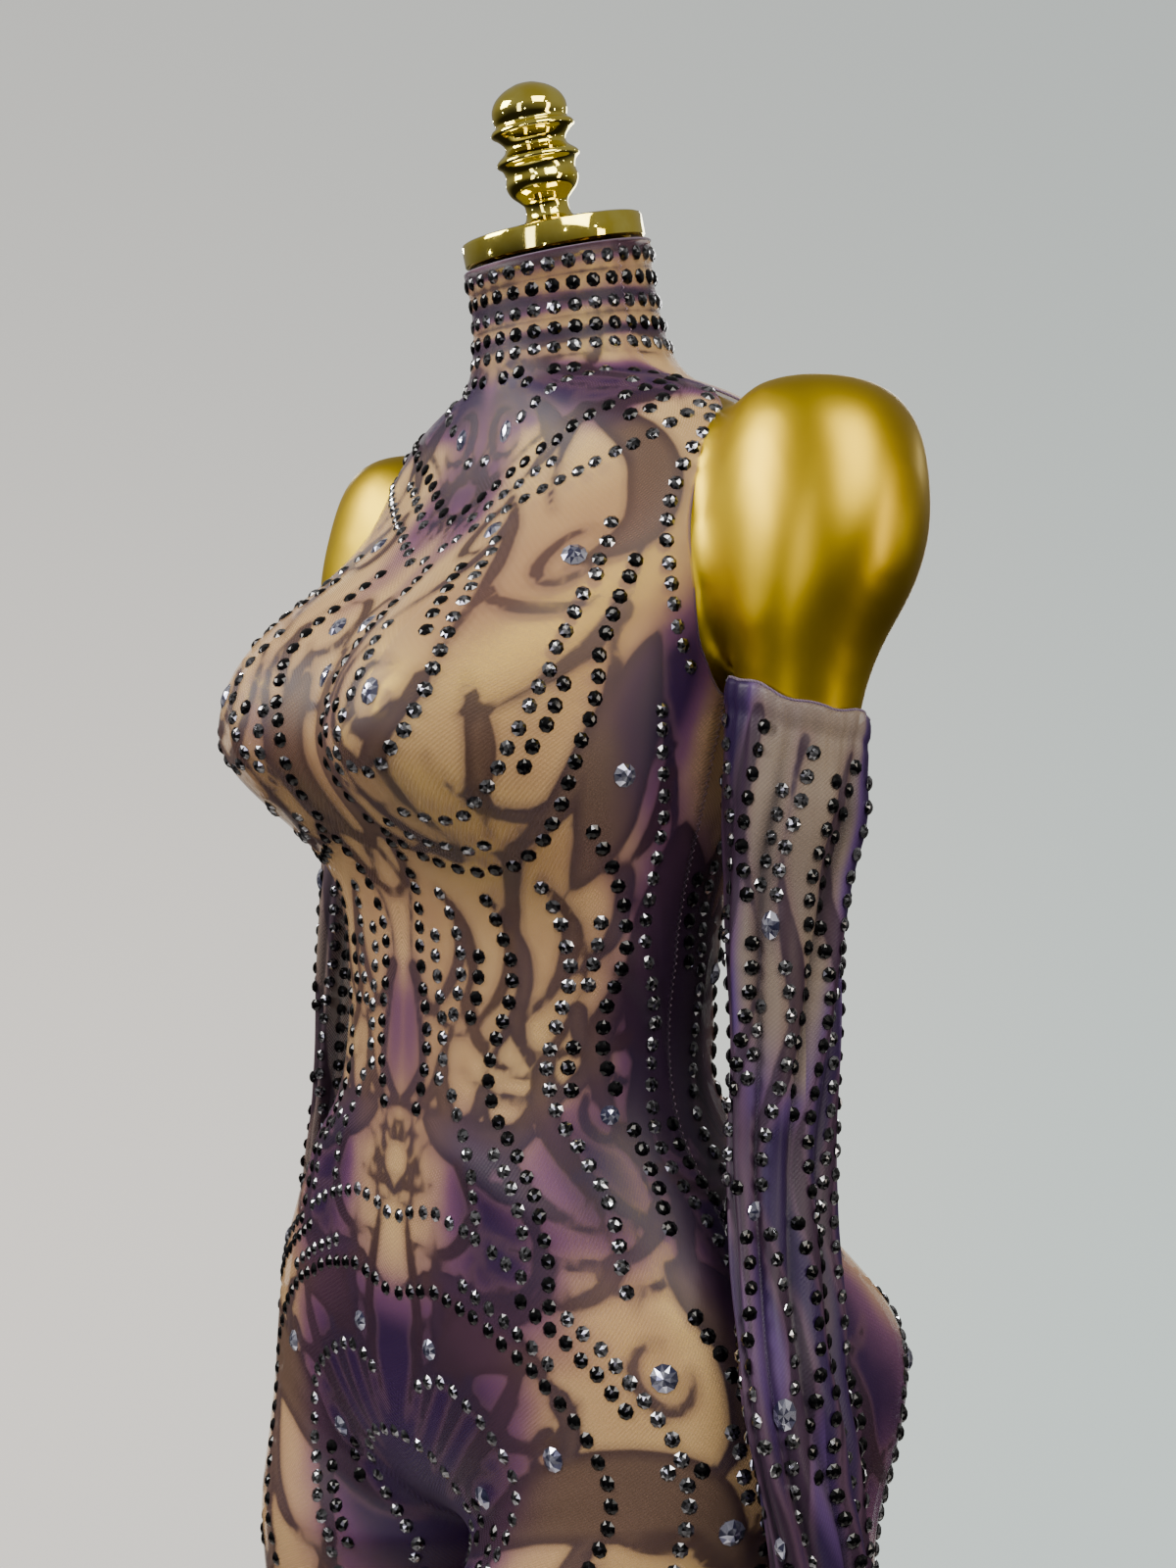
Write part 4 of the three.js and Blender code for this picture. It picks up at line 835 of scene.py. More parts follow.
def unit_grid(bm, columns, rows):
    """Adds a grid to a bmesh, and gives its points with each one's share across and down."""
    verts = bmesh.ops.create_grid(bm, x_segments=columns, y_segments=rows, size=0.5)["verts"]
    across = np.array([v.co.x for v in verts]) + 0.5
    down = 0.5 - np.array([v.co.y for v in verts])
    return verts, across, down


def place_points(verts, spots):
    """Moves points to places given in millimetres."""
    for vert, spot in zip(verts, spots * MM):
        vert.co = spot


def cloth_grid(columns, heights, span):
    """A grid laid on the left half of the body between two edges given as functions of height."""
    bm = bmesh.new()
    _, across, down = unit_grid(bm, columns, len(heights) - 1)
    z = np.interp(down * (len(heights) - 1), np.arange(len(heights)), heights)
    first, second = span(z)
    return bm, first + (second - first) * across, z


def trunk_heights(step, leg_step):
    """Heights of the rows of a sheet from the neck to the hem."""
    upper = np.linspace(NECK_Z, CROTCH_Z, int((NECK_Z - CROTCH_Z) / step) + 1)
    lower = np.linspace(CROTCH_Z, HEM_Z, int((CROTCH_Z - HEM_Z) / leg_step) + 1)
    return np.concatenate([upper, lower[1:]])


def lay(bm, spots, values, across, z):
    """Moves a grid into the cloth's place, with its print values, whose fourth carries painted fold shade,
    and a UV map in metres.
    """
    place_points(bm.verts, spots)
    layer = bm.verts.layers.float_color.new("print")
    for vert, value in zip(bm.verts, values):
        vert[layer] = value
    bm.verts.index_update()
    uv = bm.loops.layers.uv.new("cloth")
    for face in bm.faces:
        for loop in face.loops:
            k = loop.vert.index
            loop[uv].uv = (across[k], z[k] * MM)


# Grid sizes in millimetres and columns, and the widths in metres that a weave is spread over
HEIGHTS = trunk_heights(4.6, 7.5)
SHEET_COLUMNS = 58
SLEEVE_ROWS = 170
SLEEVE_SIDES = 144
HALF_GIRTH = 0.42
SLEEVE_GIRTH = 0.18


def thick_sheet(name, bm, node, material):
    """A cloth piece with its thickness, standing for a CAD node."""
    piece = add_object(name, finished(bm, name), material)
    thicken(piece, CLOTH_THICK, -1)
    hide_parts(node)
    return piece


def mirror_half(bm, merge):
    """Adds the right half of a left one, and merges the two along the middle."""
    bmesh.ops.mirror(bm, geom=bm.verts[:] + bm.edges[:] + bm.faces[:], matrix=Matrix.Identity(4),
                     merge_dist=merge, axis="X")


def make_panel(node):
    """The jumpsuit's front in one piece, or one of its two backs."""
    def span(z):
        if node == "front":
            return np.zeros_like(z), edge_smooth("front", z)
        return edge_smooth("back", z), np.ones_like(z)
    bm, t, z = cloth_grid(SHEET_COLUMNS, HEIGHTS, span)
    lay(bm, cloth_place(t, z)[0], painted(t, z), t * HALF_GIRTH, z)
    if node == "front":
        mirror_half(bm, 2e-5)
    if node == "back_right":
        bmesh.ops.scale(bm, vec=(-1, 1, 1), verts=bm.verts)
    return thick_sheet(f"jumpsuit_{node}", bm, node, MESH_BODY)


# Lines on a sleeve: stone, width of the painted stroke (0 for none), and angles with heights
SLEEVE_LINES = (
    ("smoke", 12, ((-120, 1214), (-100, 1150), (-118, 1080), (-95, 1010), (-115, 940), (-92, 870),
                   (-112, 800), (-95, 730), (-105, 700))),
    ("jet", 10, ((-70, 1216), (-84, 1160), (-62, 1100), (-82, 1030), (-60, 960), (-80, 890), (-58, 820),
                 (-76, 750), (-64, 700))),
    ("smoke", 14, ((-30, 1210), (-44, 1140), (-22, 1070), (-42, 1000), (-20, 930), (-40, 860),
                   (-20, 790), (-36, 720))),
    ("jet", 12, ((14, 1206), (0, 1150), (20, 1080), (2, 1010), (22, 940), (4, 870), (20, 800), (6, 720))),
    ("smoke", 10, ((60, 1204), (46, 1130), (66, 1050), (48, 970), (66, 890), (50, 810), (62, 730))),
    ("smoke", 12, ((120, 1204), (106, 1120), (128, 1040), (108, 960), (126, 880), (110, 800),
                   (122, 720))),
    ("jet", 12, ((175, 1208), (162, 1130), (182, 1050), (164, 970), (182, 890), (166, 810), (178, 730))),
    ("smoke", 0, ((-52, 1190), (-60, 1130), (-50, 1080), (-64, 1040))),
    ("jet", 0, ((-8, 1198), (-16, 1140), (-6, 1090), (-14, 1050), (-4, 1010))),
    ("smoke", 0, ((34, 1200), (28, 1120), (44, 1040), (30, 950), (42, 860), (34, 780))),
    ("smoke", 0, ((-66, 1000), (-52, 950), (-70, 905), (-48, 860), (-68, 815), (-50, 770))),
    ("jet", 0, ((-134, 1190), (-142, 1100), (-130, 1010), (-144, 920), (-132, 840))),
    ("jet", 0, ((-12, 985), (4, 935), (-12, 880), (6, 830))),
)
# Violet strips down a sleeve: middle and half width in degrees, strength on the left and on the right
SLEEVE_STRIPS = ((-112, 28, 0.95, 0.95), (36, 18, 0.8, 0.8), (140, 30, 0.6, 0.0))
# Large crystals on a sleeve: angle, height, half width and half length in millimetres
SLEEVE_CRYSTALS = (
    (-45, 1120, 5, 7), (-52, 985, 5, 5), (-36, 900, 5.4, 7.5), (-70, 840, 6, 6), (-20, 760, 5, 7),
    (90, 1100, 5, 5), (150, 900, 5.5, 5.5),
)


def sleeve_print(angle, z, is_left):
    """Print values on a sleeve: stroke edge distance, violet share, tint, and the light left in a fold,
    which carries the painted shade of the fold valleys.
    """
    here, _ = sleeve_place(angle, z, is_left)
    best = np.full(len(angle), float(PRINT_REACH))
    for _, wide, points in SLEEVE_LINES:
        if not wide:
            continue
        a, height = curve_through(points, 26 * len(points))
        a = a + 9 * np.sin(0.03 * height)
        spots, _ = sleeve_place(a, np.clip(height, SLEEVE_END, SLEEVE_TOP), is_left)
        radius = wide * 0.5 * (0.55 + 0.45 * np.sin(0.035 * height + wide)) + 0.3
        for part in np.array_split(np.arange(len(here)), 24):
            gap = np.linalg.norm(here[part][:, None] - spots[None], axis=2) - radius[None]
            best[part] = np.minimum(best[part], gap.min(1))
    strips = 0.0
    for middle, wide, left, right in SLEEVE_STRIPS:
        off = (angle - middle + 180) % 360 - 180
        strips = strips + (left if is_left else right) * np.exp(-((off / wide) ** 2))
    turn = np.radians(angle)
    patches = 0.5 + 0.5 * np.sin(0.026 * z + 2.2 * np.sin(turn) + 1.2)
    share = np.clip(((1100 if is_left else 960) - z) / 170, 0, 1)
    violet = np.clip((1.0 if is_left else 0.15) * strips + (0.5 + 0.9 * patches) * share, 0, 1)
    # Painted shade: the fold valleys are darkened, also standing for the cloth doubled there.
    fold_shade = np.exp(-((hanging_lobes(turn, z) / 0.34) ** 2)) * np.clip((1216 - z) / 40, 0, 1)
    return np.stack([edge_value(best), violet, np.full(len(angle), 0.6), 1 - 0.6 * fold_shade], 1)


def make_sleeve(side):
    """A long sleeve that hangs empty: a grid closed into a tube along one seam."""
    is_left = side == "left"
    bm = bmesh.new()
    _, across, down = unit_grid(bm, SLEEVE_SIDES, SLEEVE_ROWS)
    angle = across * 360
    z = SLEEVE_TOP - down * (SLEEVE_TOP - SLEEVE_END)
    spots, _ = sleeve_place(angle, z, is_left)
    lay(bm, spots, sleeve_print(angle, z, is_left), across * SLEEVE_GIRTH, z)
    bmesh.ops.remove_doubles(bm, verts=bm.verts, dist=1e-6)
    return thick_sheet(f"sheer_sleeve_{side}", bm, f"sleeve_{side}", MESH_SLEEVE)


# Stones

def stone_shape(sides, table_share, rise_share):
    """A flat-backed cut stone of unit radius: its points and its triangles."""
    bm = bmesh.new()
    bmesh.ops.create_circle(bm, cap_ends=True, segments=sides, radius=1.0)
    girdle = bmesh.ops.extrude_face_region(bm, geom=bm.faces[:])
    top = [g for g in girdle["geom"] if isinstance(g, bmesh.types.BMVert)]
    bmesh.ops.translate(bm, vec=(0, 0, 0.16), verts=top)
    crown_face = [g for g in girdle["geom"] if isinstance(g, bmesh.types.BMFace)]
    crown = bmesh.ops.extrude_face_region(bm, geom=crown_face)
    ring = [g for g in crown["geom"] if isinstance(g, bmesh.types.BMVert)]
    bmesh.ops.scale(bm, vec=(table_share, table_share, 1), verts=ring)
    bmesh.ops.rotate(bm, cent=(0, 0, 0), matrix=Matrix.Rotation(math.pi / sides, 3, "Z"), verts=ring)
    bmesh.ops.translate(bm, vec=(0, 0, rise_share), verts=ring)
    roof = [g for g in crown["geom"] if isinstance(g, bmesh.types.BMFace)]
    bmesh.ops.delete(bm, geom=crown_face, context="FACES_ONLY")
    apex = bmesh.ops.poke(bm, faces=roof)["verts"]
    bmesh.ops.translate(bm, vec=(0, 0, 0.1), verts=apex)
    bmesh.ops.delete(bm, geom=[f for f in bm.faces if len(f.verts) > 4], context="FACES_ONLY")
    bmesh.ops.holes_fill(bm, edges=bm.edges, sides=sides)
    bmesh.ops.triangulate(bm, faces=bm.faces)
    bmesh.ops.recalc_face_normals(bm, faces=bm.faces)
    points = np.array([v.co for v in bm.verts])
    faces = np.array([[v.index for v in f.verts] for f in bm.faces])
    bm.free()
    # The operators give the triangles in no fixed order, so they are sorted to be the same in each run
    faces = np.array([np.roll(face, -face.argmin()) for face in faces])
    return points, faces[np.lexsort(faces.T)]


SMALL_STONE = stone_shape(8, 0.56, 0.32)
LARGE_STONE = stone_shape(10, 0.52, 0.30)
LARGE_FROM = 4.4
STONE_GAP = 0.25
GLUE_TILT = 0.05
ZIP_CLEARANCE = 13.5
HOLE_CLEARANCE = 0.014


class StoneTray:
    """Collects stones by panel and glass, and keeps them from touching each other."""

    def __init__(self):
        self.spots = np.zeros((0, 4))
        self.groups = {}

    def put(self, group, glass, place, normal, radius, length=None):
        """Adds a stone, unless one is already too near, with a little chance in its turn and tilt."""
        length = length or radius
        reach = max(radius, length)
        if len(self.spots):
            gap = np.linalg.norm(self.spots[:, :3] - place, axis=1) - self.spots[:, 3]
            if gap.min() < reach + STONE_GAP:
                return
        self.spots = np.vstack([self.spots, [*place, reach]])
        spin = random.uniform(0, math.pi) if length == radius else 0
        across = np.cross((0, 0, 1), normal)
        across /= np.linalg.norm(across) + 1e-9
        along = np.cross(normal, across)
        tilt = normal + random.normal(0, GLUE_TILT, 3)
        tilt /= np.linalg.norm(tilt)
        c, s = math.cos(spin), math.sin(spin)
        wide, long = (across * c + along * s) * radius, (along * c - across * s) * length
        axes = np.stack([wide, long, tilt * radius])
        is_large = length != radius or radius > LARGE_FROM
        self.groups.setdefault((group, glass), []).append((place, axes, is_large))

    def build(self):
        """One piece for each panel and glass, listed by panel."""
        made = {}
        for (group, glass), stones in self.groups.items():
            points, faces, start = [], [], 0
            for place, axes, is_large in stones:
                shape, sides = LARGE_STONE if is_large else SMALL_STONE
                points.append(shape @ axes + place)
                faces.append(sides + start)
                start += len(shape)
            name = f"stones_{group}_{glass}"
            mesh = bpy.data.meshes.new(name)
            mesh.from_pydata((np.concatenate(points) * MM).tolist(), [], np.concatenate(faces).tolist())
            # Painted reflection: each facet gets a random brightness, which the glass reads as its colour.
            facet = mesh.attributes.new("facet", "FLOAT", "FACE")
            facet.data.foreach_set("value", random.beta(0.55, 1.25, len(mesh.polygons)))
            made.setdefault(group, []).append(add_object(name, mesh, GLASS[glass]))
        return made


TRAY = StoneTray()


def put_on_body(glass, t, z, radius, length=None):
    """A stone at a lattice place of the left half, and its twin on the right half."""
    t, z = np.array([t], float), np.array([z], float)
    spot, normal = cloth_place(t, z, CLOTH_STAND + 0.05)
    on_middle = z[0] > CROTCH_Z and (t[0] < MIDDLE or t[0] > 1 - MIDDLE)
    for side, flip in SIDES.items():
        if side == "right" and on_middle:
            continue
        panel = "front" if t[0] <= 0.5 else f"back_{side}"
        mirrored = np.array([flip, 1, 1])
        TRAY.put(panel, glass, spot[0] * mirrored, normal[0] * mirrored, radius, length)


def row_on_body(glass, ts, zs):
    """A row of stones, each a little off its line, as they are glued by hand."""
    for t, z in zip(ts, zs):
        t = float(np.clip(abs(t) + random.normal(0, 0.0008), 0, 1))
        z = float(np.clip(z + random.normal(0, 0.4), HEM_Z + 8, NECK_Z - 6))
        if on_cloth(t, z):
            put_on_body(glass, t, z, STONE_RADIUS[glass])


def on_cloth(t, z):
    """Whether a lattice place is on cloth, clear of the armhole's edge and the zip."""
    front, back = [edge_smooth(name, np.array([z]))[0] for name in ("front", "back")]
    by_hole = ARMHOLE["z"][-1] < z < ARMHOLE["z"][0] and front - HOLE_CLEARANCE < t < back + HOLE_CLEARANCE
    by_zip = z > ZIP_END - 10 and (1 - min(t, 1)) * steps_on_body(t, z) < ZIP_CLEARANCE
    return not by_hole and not by_zip


def second_row(number, glass, points):
    """A short second row beside part of a line, in the other glass."""
    t, z = curve_through(points, 60 * len(points))
    t, z = beside(t, z, SECOND_ROW if number % 2 else -SECOND_ROW)[:2]
    first, last = ((0.2, 0.42), (0.62, 0.9), (0.38, 0.58))[number % 3]
    part = slice(int(first * len(t)), int(last * len(t)))
    other = "smoke" if glass == "jet" else "jet"
    row_on_body(other, *steps_along(t[part], z[part], STONE_STEP, cloth_place))


def stones_on_sleeve(side):
    """The large crystals and the rows of a sleeve."""
    def place(angle, z):
        return sleeve_place(angle, z, side == "left", 1.1)
    for angle, z, radius, length in SLEEVE_CRYSTALS:
        spot, normal = place(np.array([angle]), np.array([z]))
        TRAY.put(f"sleeve_{side}", "crystal", spot[0], normal[0], radius, length)
    for glass, _, points in SLEEVE_LINES:
        for spot, normal in zip(*place(*walk(points, STONE_STEP + 1, place))):
            TRAY.put(f"sleeve_{side}", glass, spot, normal, STONE_RADIUS[glass] * 0.92)


def set_stones():
    """Glues on every stone: crystals first, so that the rows part round them."""
    for t, z, radius, length in CRYSTALS:
        put_on_body("crystal", t, z, radius, length)
    for z, glass in COLLAR_ROWS:
        around = [(t, z) for t in (0.0, 0.25, 0.5, 0.75, 1.0)]
        for t, height in zip(*walk(around, STONE_STEP + 0.5, cloth_place)):
            if on_cloth(t, height):
                put_on_body(glass, t, height, STONE_RADIUS[glass])
    for number, (glass, _, _, points) in enumerate(LINES):
        row_on_body(glass, *walk(points, STONE_STEP, cloth_place))
        second_row(number, glass, points)
    for side in SIDES:
        stones_on_sleeve(side)
    return TRAY.build()


# Form and stand

# Sides and rows of an arm stub and of the bridge to the chest, and the skin's voxel in millimetres
FORM_SIDES = 48
ARM_ROWS = 55
WEB_ROWS = 39
SKIN_VOXEL = 4.4


def arm_outline(s, turn):
    """Oval section of an arm stub."""
    return s["x"] + s["wide"] * np.cos(turn), s["y"] + s["deep"] * np.sin(turn)


def web_outline(s, turn):
    """Fuller section of the bridge between an arm stub and the chest."""
    middle, half = (s["inner"] + s["outer"]) / 2, (s["outer"] - s["inner"]) / 2
    bulge = np.sign(np.sin(turn)) * np.abs(np.sin(turn)) ** 0.85
    return middle + half * np.cos(turn), s["y"] + s["deep"] * bulge


def add_bulge(bm, table_rows, rows, outline, flip):
    """Adds a tube whose sections a table gives, still open at its ends."""
    verts, across, down = unit_grid(bm, FORM_SIDES, rows)
    s = read_smooth(table_rows, down * (len(table_rows["z"]) - 1))
    x, y = outline(s, 2 * np.pi * across)
    place_points(verts, np.stack([flip * x, y, s["z"]], 1))
    bmesh.ops.remove_doubles(bm, verts=verts, dist=1e-6)


def make_form():
    """The moulded form: trunk, thigh and arm stubs, joined into one skin and sanded smooth."""
    trunk_rows = np.linspace(NECK_Z, CROTCH_Z, 140)
    leg_rows = np.linspace(CROTCH_Z - 5, STUB_END_Z + STUB_ROUND, 30)
    rows = np.concatenate([trunk_rows, leg_rows])
    bm, t, z = cloth_grid(90, rows, lambda z: (np.zeros_like(z), np.ones_like(z)))
    covered = (t < edge_smooth("front", z) - 0.03) | (t > edge_smooth("back", z) + 0.03)
    inset = 0.5 + np.where(covered, 1.6, 0)
    spots = body_point(t, z, "form") - body_normal(t, z, "form") * inset[:, None]
    spots[:, 0] = np.where(((t == 0) | (t == 1)) & (z >= CROTCH_Z), 0, spots[:, 0])
    lean = math.radians(NECK_LEAN)
    spots[z == NECK_Z] += 2 * np.array([0, -math.sin(lean), math.cos(lean)])
    place_points(bm.verts, spots)
    mirror_half(bm, 1e-5)
    bmesh.ops.remove_doubles(bm, verts=bm.verts, dist=0.3 * MM)
    for flip in SIDES.values():
        add_bulge(bm, ARM, ARM_ROWS, arm_outline, flip)
        add_bulge(bm, WEB, WEB_ROWS, web_outline, flip)
    bmesh.ops.holes_fill(bm, edges=[e for e in bm.edges if e.is_boundary], sides=0)
    name = "dress_form_moulded"
    piece = add_object(name, finished(bm, name), GOLD_PAINT)
    remesh = piece.modifiers.new("one skin", "REMESH")
    remesh.mode = "VOXEL"
    remesh.voxel_size = SKIN_VOXEL * MM
    remesh.use_smooth_shade = True
    smooth = piece.modifiers.new("sanded", "SMOOTH")
    smooth.factor = 0.5
    smooth.iterations = 28
    applied(piece)
    piece.data.materials.clear()
    piece.data.materials.append(GOLD_PAINT)
    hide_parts("dress_form")
    return piece


def turned(name, outline, material, slot, node, place):
    """A part turned on a lathe from an outline of radius and height."""
    bm = bmesh.new()
    verts = [bm.verts.new((r * MM, 0, h * MM)) for r, h in outline]
    edges = [bm.edges.new(pair) for pair in zip(verts, verts[1:])]
    bmesh.ops.spin(bm, geom=verts + edges, cent=(0, 0, 0), axis=(0, 0, 1), angle=2 * math.pi,
                   steps=96, use_merge=True)
    bmesh.ops.remove_doubles(bm, verts=bm.verts, dist=1e-6)
    bmesh.ops.transform(bm, matrix=place, verts=bm.verts)
    piece = add_object(name, finished(bm, name), material)
    piece.data.set_sharp_from_angle(angle=math.radians(38))
    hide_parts(node)
    return piece


def neck_place(lift):
    """Place of a part on the leaning neck."""
    top = Matrix.Translation(Vector((0, TRUNK["centre"][0], NECK_Z)) * MM)
    return top @ Matrix.Rotation(math.radians(NECK_LEAN), 4, "X") @ Matrix.Translation((0, 0, lift * MM))


def tube(name, paths, radius, material):
    """Round threads or rolled edges along lists of points in millimetres, as one mesh."""
    curve = bpy.data.curves.new(name, "CURVE")
    curve.dimensions = "3D"
    curve.bevel_depth = radius * MM
    curve.bevel_resolution = 1
    curve.use_fill_caps = True
    for spots, is_closed in paths:
        spline = curve.splines.new("POLY")
        spline.points.add(len(spots) - 1)
        flat = np.concatenate([spots * MM, np.ones((len(spots), 1))], axis=1)
        spline.points.foreach_set("co", flat.ravel())
        spline.use_cyclic_u = is_closed
    holder = bpy.data.objects.new(name, curve)
    bpy.context.scene.collection.objects.link(holder)
    graph = bpy.context.evaluated_depsgraph_get()
    mesh = bpy.data.meshes.new_from_object(holder.evaluated_get(graph))
    bpy.data.objects.remove(holder)
    mesh.materials.clear()
    return add_object(name, mesh, material)


def both_sides(paths):
    """Paths with their mirrored twins."""
    return paths + [(spots * (-1, 1, 1), is_closed) for spots, is_closed in paths]


def stitched(across, high, low, half=1.1, pitch=3.6):
    """Zigzag of an overlock seam down one lattice line, between two heights."""
    count = int((high - low) / pitch * 2)
    z = np.linspace(high, low, count)
    spots, normals = cloth_place(np.full(count, across), z, CLOTH_STAND + 0.25)
    aside = np.cross(normals, np.gradient(spots, axis=0))
    aside /= np.linalg.norm(aside, axis=1, keepdims=True)
    return spots + aside * (half * (-1) ** np.arange(count))[:, None], False


def edge_tapes():
    """Rolled elastic round the armholes, the neck, the hems and both ends of each sleeve."""
    hole = np.linspace(ARMHOLE["z"][0], ARMHOLE["z"][-1], 90)
    forward = cloth_place(edge_smooth("front", hole), hole, 1.2)[0]
    behind = cloth_place(edge_smooth("back", hole[::-1]), hole[::-1], 1.2)[0][1:-1]
    around = np.linspace(0, 1, 70)
    neck = cloth_place(around, np.full(70, NECK_Z), 1.4)[0]
    neck = np.concatenate([neck, neck[-2:0:-1] * (-1, 1, 1)])
    hem = cloth_place(around[:-1], np.full(69, HEM_Z), 1.2)[0]
    edges = [
        tube("armhole_edges", both_sides([(np.concatenate([forward, behind]), True)]), 0.75, EDGE_TAPE),
        tube("neck_edge", [(neck, True)], 0.7, EDGE_TAPE),
        tube("trouser_edges", both_sides([(hem, True)]), 0.7, EDGE_TAPE),
    ]
    cuffs = {}
    angles = np.linspace(0, 360, SLEEVE_SIDES + 1)[:-1]
    for side in SIDES:
        ends = []
        for z in (SLEEVE_TOP, SLEEVE_END):
            ring, _ = sleeve_place(angles, np.full(SLEEVE_SIDES, float(z)), side == "left", 0.6)
            ends.append((ring, True))
        cuffs[side] = tube(f"sleeve_edges_{side}", ends, 0.75, EDGE_TAPE)
    return edges, cuffs


def seam_threads():
    """Overlock stitching: shoulders, sides and insides of the legs in pairs, and the seat seam."""
    seams = both_sides([
        stitched(0.5, 1229, HEM_Z + 2),
        stitched(0.5, NECK_Z - 2, 1399),
        stitched(0.001, CROTCH_Z - 6, HEM_Z + 2),
    ])
    seams.append(stitched(0.9995, ZIP_END - 3, CROTCH_Z + 6))
    return tube("overlock_seams", seams, 0.32, THREAD)


def zip_teeth():
    """Cast teeth of the closed zip, left and right in turn, with bevelled edges."""
    bm = bmesh.new()
    size = Matrix.Diagonal(Vector((3.0, 0.9, 1.15)) * MM).to_4x4()
    for number, z in enumerate(np.arange(1459, ZIP_END, -2.0)):
        spot, normal = cloth_place(np.array([1.0]), np.array([z]), CLOTH_STAND + 0.35)
        outward = Vector(normal[0]).normalized()
        upward = outward.cross(Vector((1, 0, 0))).normalized()
        across = upward.cross(outward)
        turn = Matrix((across, outward, upward)).transposed().to_4x4()
        shift = Vector(spot[0]) + across * (0.8 if number % 2 else -0.8)
        bmesh.ops.create_cube(bm, size=1, matrix=Matrix.Translation(shift * MM) @ turn @ size)
    bmesh.ops.bevel(bm, geom=bm.edges[:], offset=0.2 * MM, segments=1, affect="EDGES", profile=0.5,
                    material=-1)
    add_object("zip_teeth", finished(bm, "zip_teeth", smooth=False), NICKEL)


def zip_tape():
    """Both tapes of the zip, lying on the backs beside the teeth."""
    bm = bmesh.new()
    for flip in SIDES.values():
        verts, across, down = unit_grid(bm, 6, 60)
        z = ZIP_END - 4 + (1 - down) * (ZIP_TOP - ZIP_END + 4)
        scale = steps_on_body(np.full(len(z), 0.98), z)
        spots = cloth_place(1 - (0.4 + 7.6 * across) / scale, z, CLOTH_STAND + 0.2)[0]
        place_points(verts, spots * (flip, 1, 1))
    thicken(add_object("zip_tape", finished(bm, "zip_tape"), ZIP_TAPE), 0.5, 0)


def make_stand():
    """The cap, finial and poles, and the metal of the CAD pieces that stay."""
    turned("neck_cap_plated", NECK_CAP, POLISHED_GOLD, "polished_gold", "neck_cap", neck_place(CAP_LIFT))
    radius, height = curve_through(FINIAL[1:-1], FINIAL_STEPS)
    outline = [FINIAL[0], FINIAL[1], *zip(np.maximum(radius, 0), height), FINIAL[-1]]
    turned("finial_plated", outline, POLISHED_GOLD, "polished_gold", "finial", neck_place(FINIAL_LIFT))
    for side, flip in SIDES.items():
        turned(f"pole_{side}_steel", POLE, BRUSHED_STEEL, "steel", f"pole_{side}",
               Matrix.Translation(Vector((POLE_PLACE[0] * flip, POLE_PLACE[1], 0)) * MM))
    for name, material in (("base_plate", BRUSHED_STEEL), ("zip_slider", NICKEL), ("pull_tab", NICKEL)):
        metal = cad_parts[name]
        metal.data.materials.clear()
        metal.data.materials.append(material)


# Studio

def add_light(name, kind, place, power):
    """A lamp at a place in metres."""
    lamp = bpy.data.lights.new(name, kind)
    lamp.energy = power
    light = bpy.data.objects.new(name, lamp)
    light.location = place
    bpy.context.scene.collection.objects.link(light)
    return light


# Soft boxes: name, place, the point that they light, size, power and colour
BOXES = (
    ("key box", (-1.2, -2.0, 2.5), (0, 0, 1.1), (1.2, 1.2), 98, "#fffaf3"),
    ("front box", (0.9, -2.4, 1.5), (0, 0, 1.1), (0.5, 1.4), 16, "#f1ecff"),
    ("top box", (1.5, -0.4, 2.5), (0.1, 0, 1.2), (1.1, 1.1), 42, "#fffaf0"),
    ("side box", (2.1, 0.7, 1.5), (0, 0, 1.1), (0.4, 1.3), 17, "#fff1e0"),
    ("back box", (-1.4, 2.2, 1.9), (0, 0, 1.1), (0.7, 1.3), 22, "#ffffff"),
)
# Small bare lamps that make the stones glitter
SPARKLES = (
    (-0.4, -2.2, 2.3), (0.9, -1.7, 2.2), (1.9, -1.0, 1.9), (1.5, -1.9, 1.2), (-1.2, -1.6, 1.4),
    (2.0, 0.4, 2.2), (-1.9, 0.6, 2.0), (0.3, 2.2, 2.1), (1.6, 1.6, 1.5), (-1.3, 1.9, 1.3),
)


def make_camera():
    """The camera at the photograph's place, level and slightly rolled."""
    camera = bpy.data.cameras.new("camera")
    camera.lens = CAMERA_LENS
    camera.sensor_width = 36
    holder = bpy.data.objects.new("camera", camera)
    turn = math.radians(CAMERA_TURN)
    back = Vector((math.sin(turn), -math.cos(turn), 0))
    holder.location = (TARGET + back * CAMERA_DISTANCE) * MM
    aim = (-back).to_track_quat("-Z", "Y").to_matrix().to_4x4()
    roll = Matrix.Rotation(math.radians(CAMERA_ROLL), 4, "Z")
    holder.rotation_euler = (aim @ roll).to_euler()
    bpy.context.scene.collection.objects.link(holder)
    bpy.context.scene.camera = holder


def make_floor():
    """A round floor in matt pale paint, lightly mottled, that fades into the wall at its rim."""
    bm = bmesh.new()
    bmesh.ops.create_circle(bm, cap_ends=True, segments=96, radius=4.0)
    floor = bpy.data.objects.new("floor", finished(bm, "floor", smooth=False))
    floor.location.z = -0.0005
    bpy.context.scene.collection.objects.link(floor)
    paint, tree, shader = new_material("matt floor paint", Roughness=0.7)
    place = add(tree, {}, **PLACE)
    far = add(tree, {0: place}, "ShaderNodeVectorMath", "Value", operation="LENGTH")
    fade = add(tree, {0: far, 1: 0.7, 2: 1.75, 3: 1.0, 4: 0.0}, **RAMP)
    grain = add(tree, {"Vector": place, "Scale": 30.0}, **NOISE)
    colour = add(tree, {0: grain, 6: linear("#c9c7c4"), 7: linear("#d0cecb")}, **MIX)
    wire(tree, shader, {"Base Color": colour, "Alpha": fade})
    floor.data.materials.append(paint)


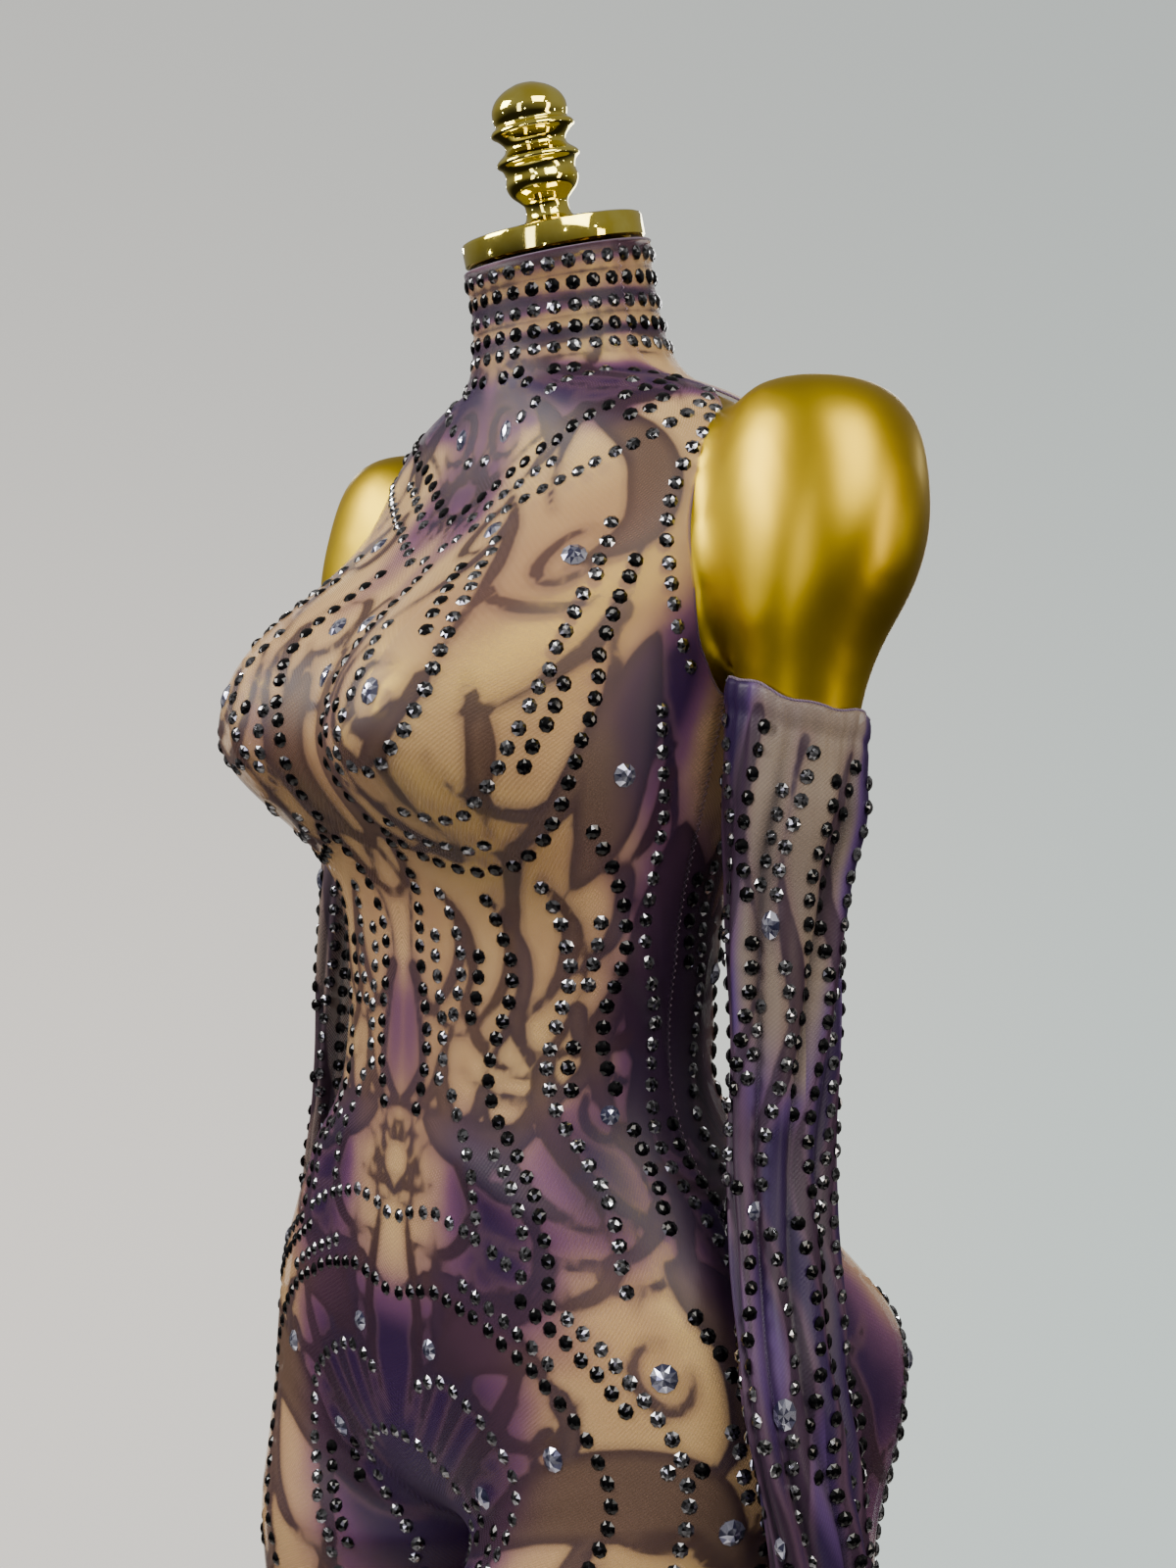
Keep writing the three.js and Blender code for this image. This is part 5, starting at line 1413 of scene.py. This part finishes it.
def make_room():
    """The pale wall that the camera sees, with painted light across it, and the dimmer room that the
    surfaces reflect.
    """
    world = bpy.data.worlds.new("studio")
    bpy.context.scene.world = world
    world.use_nodes = True
    tree = world.node_tree
    way = add(tree, {}, "ShaderNodeTexCoord", "Generated")
    across = add(tree, {0: way}, "ShaderNodeSeparateXYZ", "X")
    # Painted light on the wall: lighter and warmer towards one side, cooler and darker towards the other.
    side = add(tree, {0: across, 1: -0.95, 2: -0.5}, **RAMP)
    wall = add(tree, {0: side, 6: linear("#ebe3da"), 7: linear("#c7d3cf")}, **MIX)
    upward = across.node.outputs["Z"]
    # Painted shade: the wall greys towards the top.
    shade = add(tree, {0: upward, 1: -0.35, 2: 0.45, 3: 0.0, 4: 0.75}, **RAMP)
    wall = add(tree, {0: shade, 6: wall, 7: linear("#a3a6a4")}, **MIX)
    level = add(tree, {0: upward, 1: -0.35, 2: 0.45}, **RAMP)
    dim = add(tree, {0: level, 6: linear("#322f2e"), 7: linear("#c2bfbb")}, **MIX)
    seen = add(tree, {}, "ShaderNodeLightPath", "Is Camera Ray")
    backdrop = add(tree, {"Color": wall, "Strength": 1.48}, "ShaderNodeBackground", 0)
    room = add(tree, {"Color": dim, "Strength": 0.52}, "ShaderNodeBackground", 0)
    both = add(tree, {0: seen, 1: room, 2: backdrop}, "ShaderNodeMixShader", 0)
    tree.nodes.remove(tree.nodes["Background"])
    tree.links.new(both, tree.nodes["World Output"].inputs["Surface"])


def make_lights():
    """Soft boxes all round, and small lamps for the stones."""
    for name, place, aim, size, power, colour in BOXES:
        light = add_light(name, "AREA", place, power)
        light.rotation_euler = (Vector(aim) - Vector(place)).to_track_quat("-Z", "Y").to_euler()
        light.data.shape = "RECTANGLE"
        light.data.size, light.data.size_y = size
        light.data.color = linear(colour)[:3]
    for number, place in enumerate(SPARKLES):
        light = add_light(f"sparkle {number}", "POINT", place, 5)
        light.data.shadow_soft_size = 0.03


dress_form = make_form()
front_sheet = make_panel("front")
back_sheets = {side: make_panel(f"back_{side}") for side in SIDES}
sleeve_sheets = {side: make_sleeve(side) for side in SIDES}
stone_pieces = set_stones()
edge_pieces, cuff_pieces = edge_tapes()
edge_pieces.append(seam_threads())
zip_teeth()
zip_tape()
make_stand()
make_camera()
make_floor()
make_room()
make_lights()
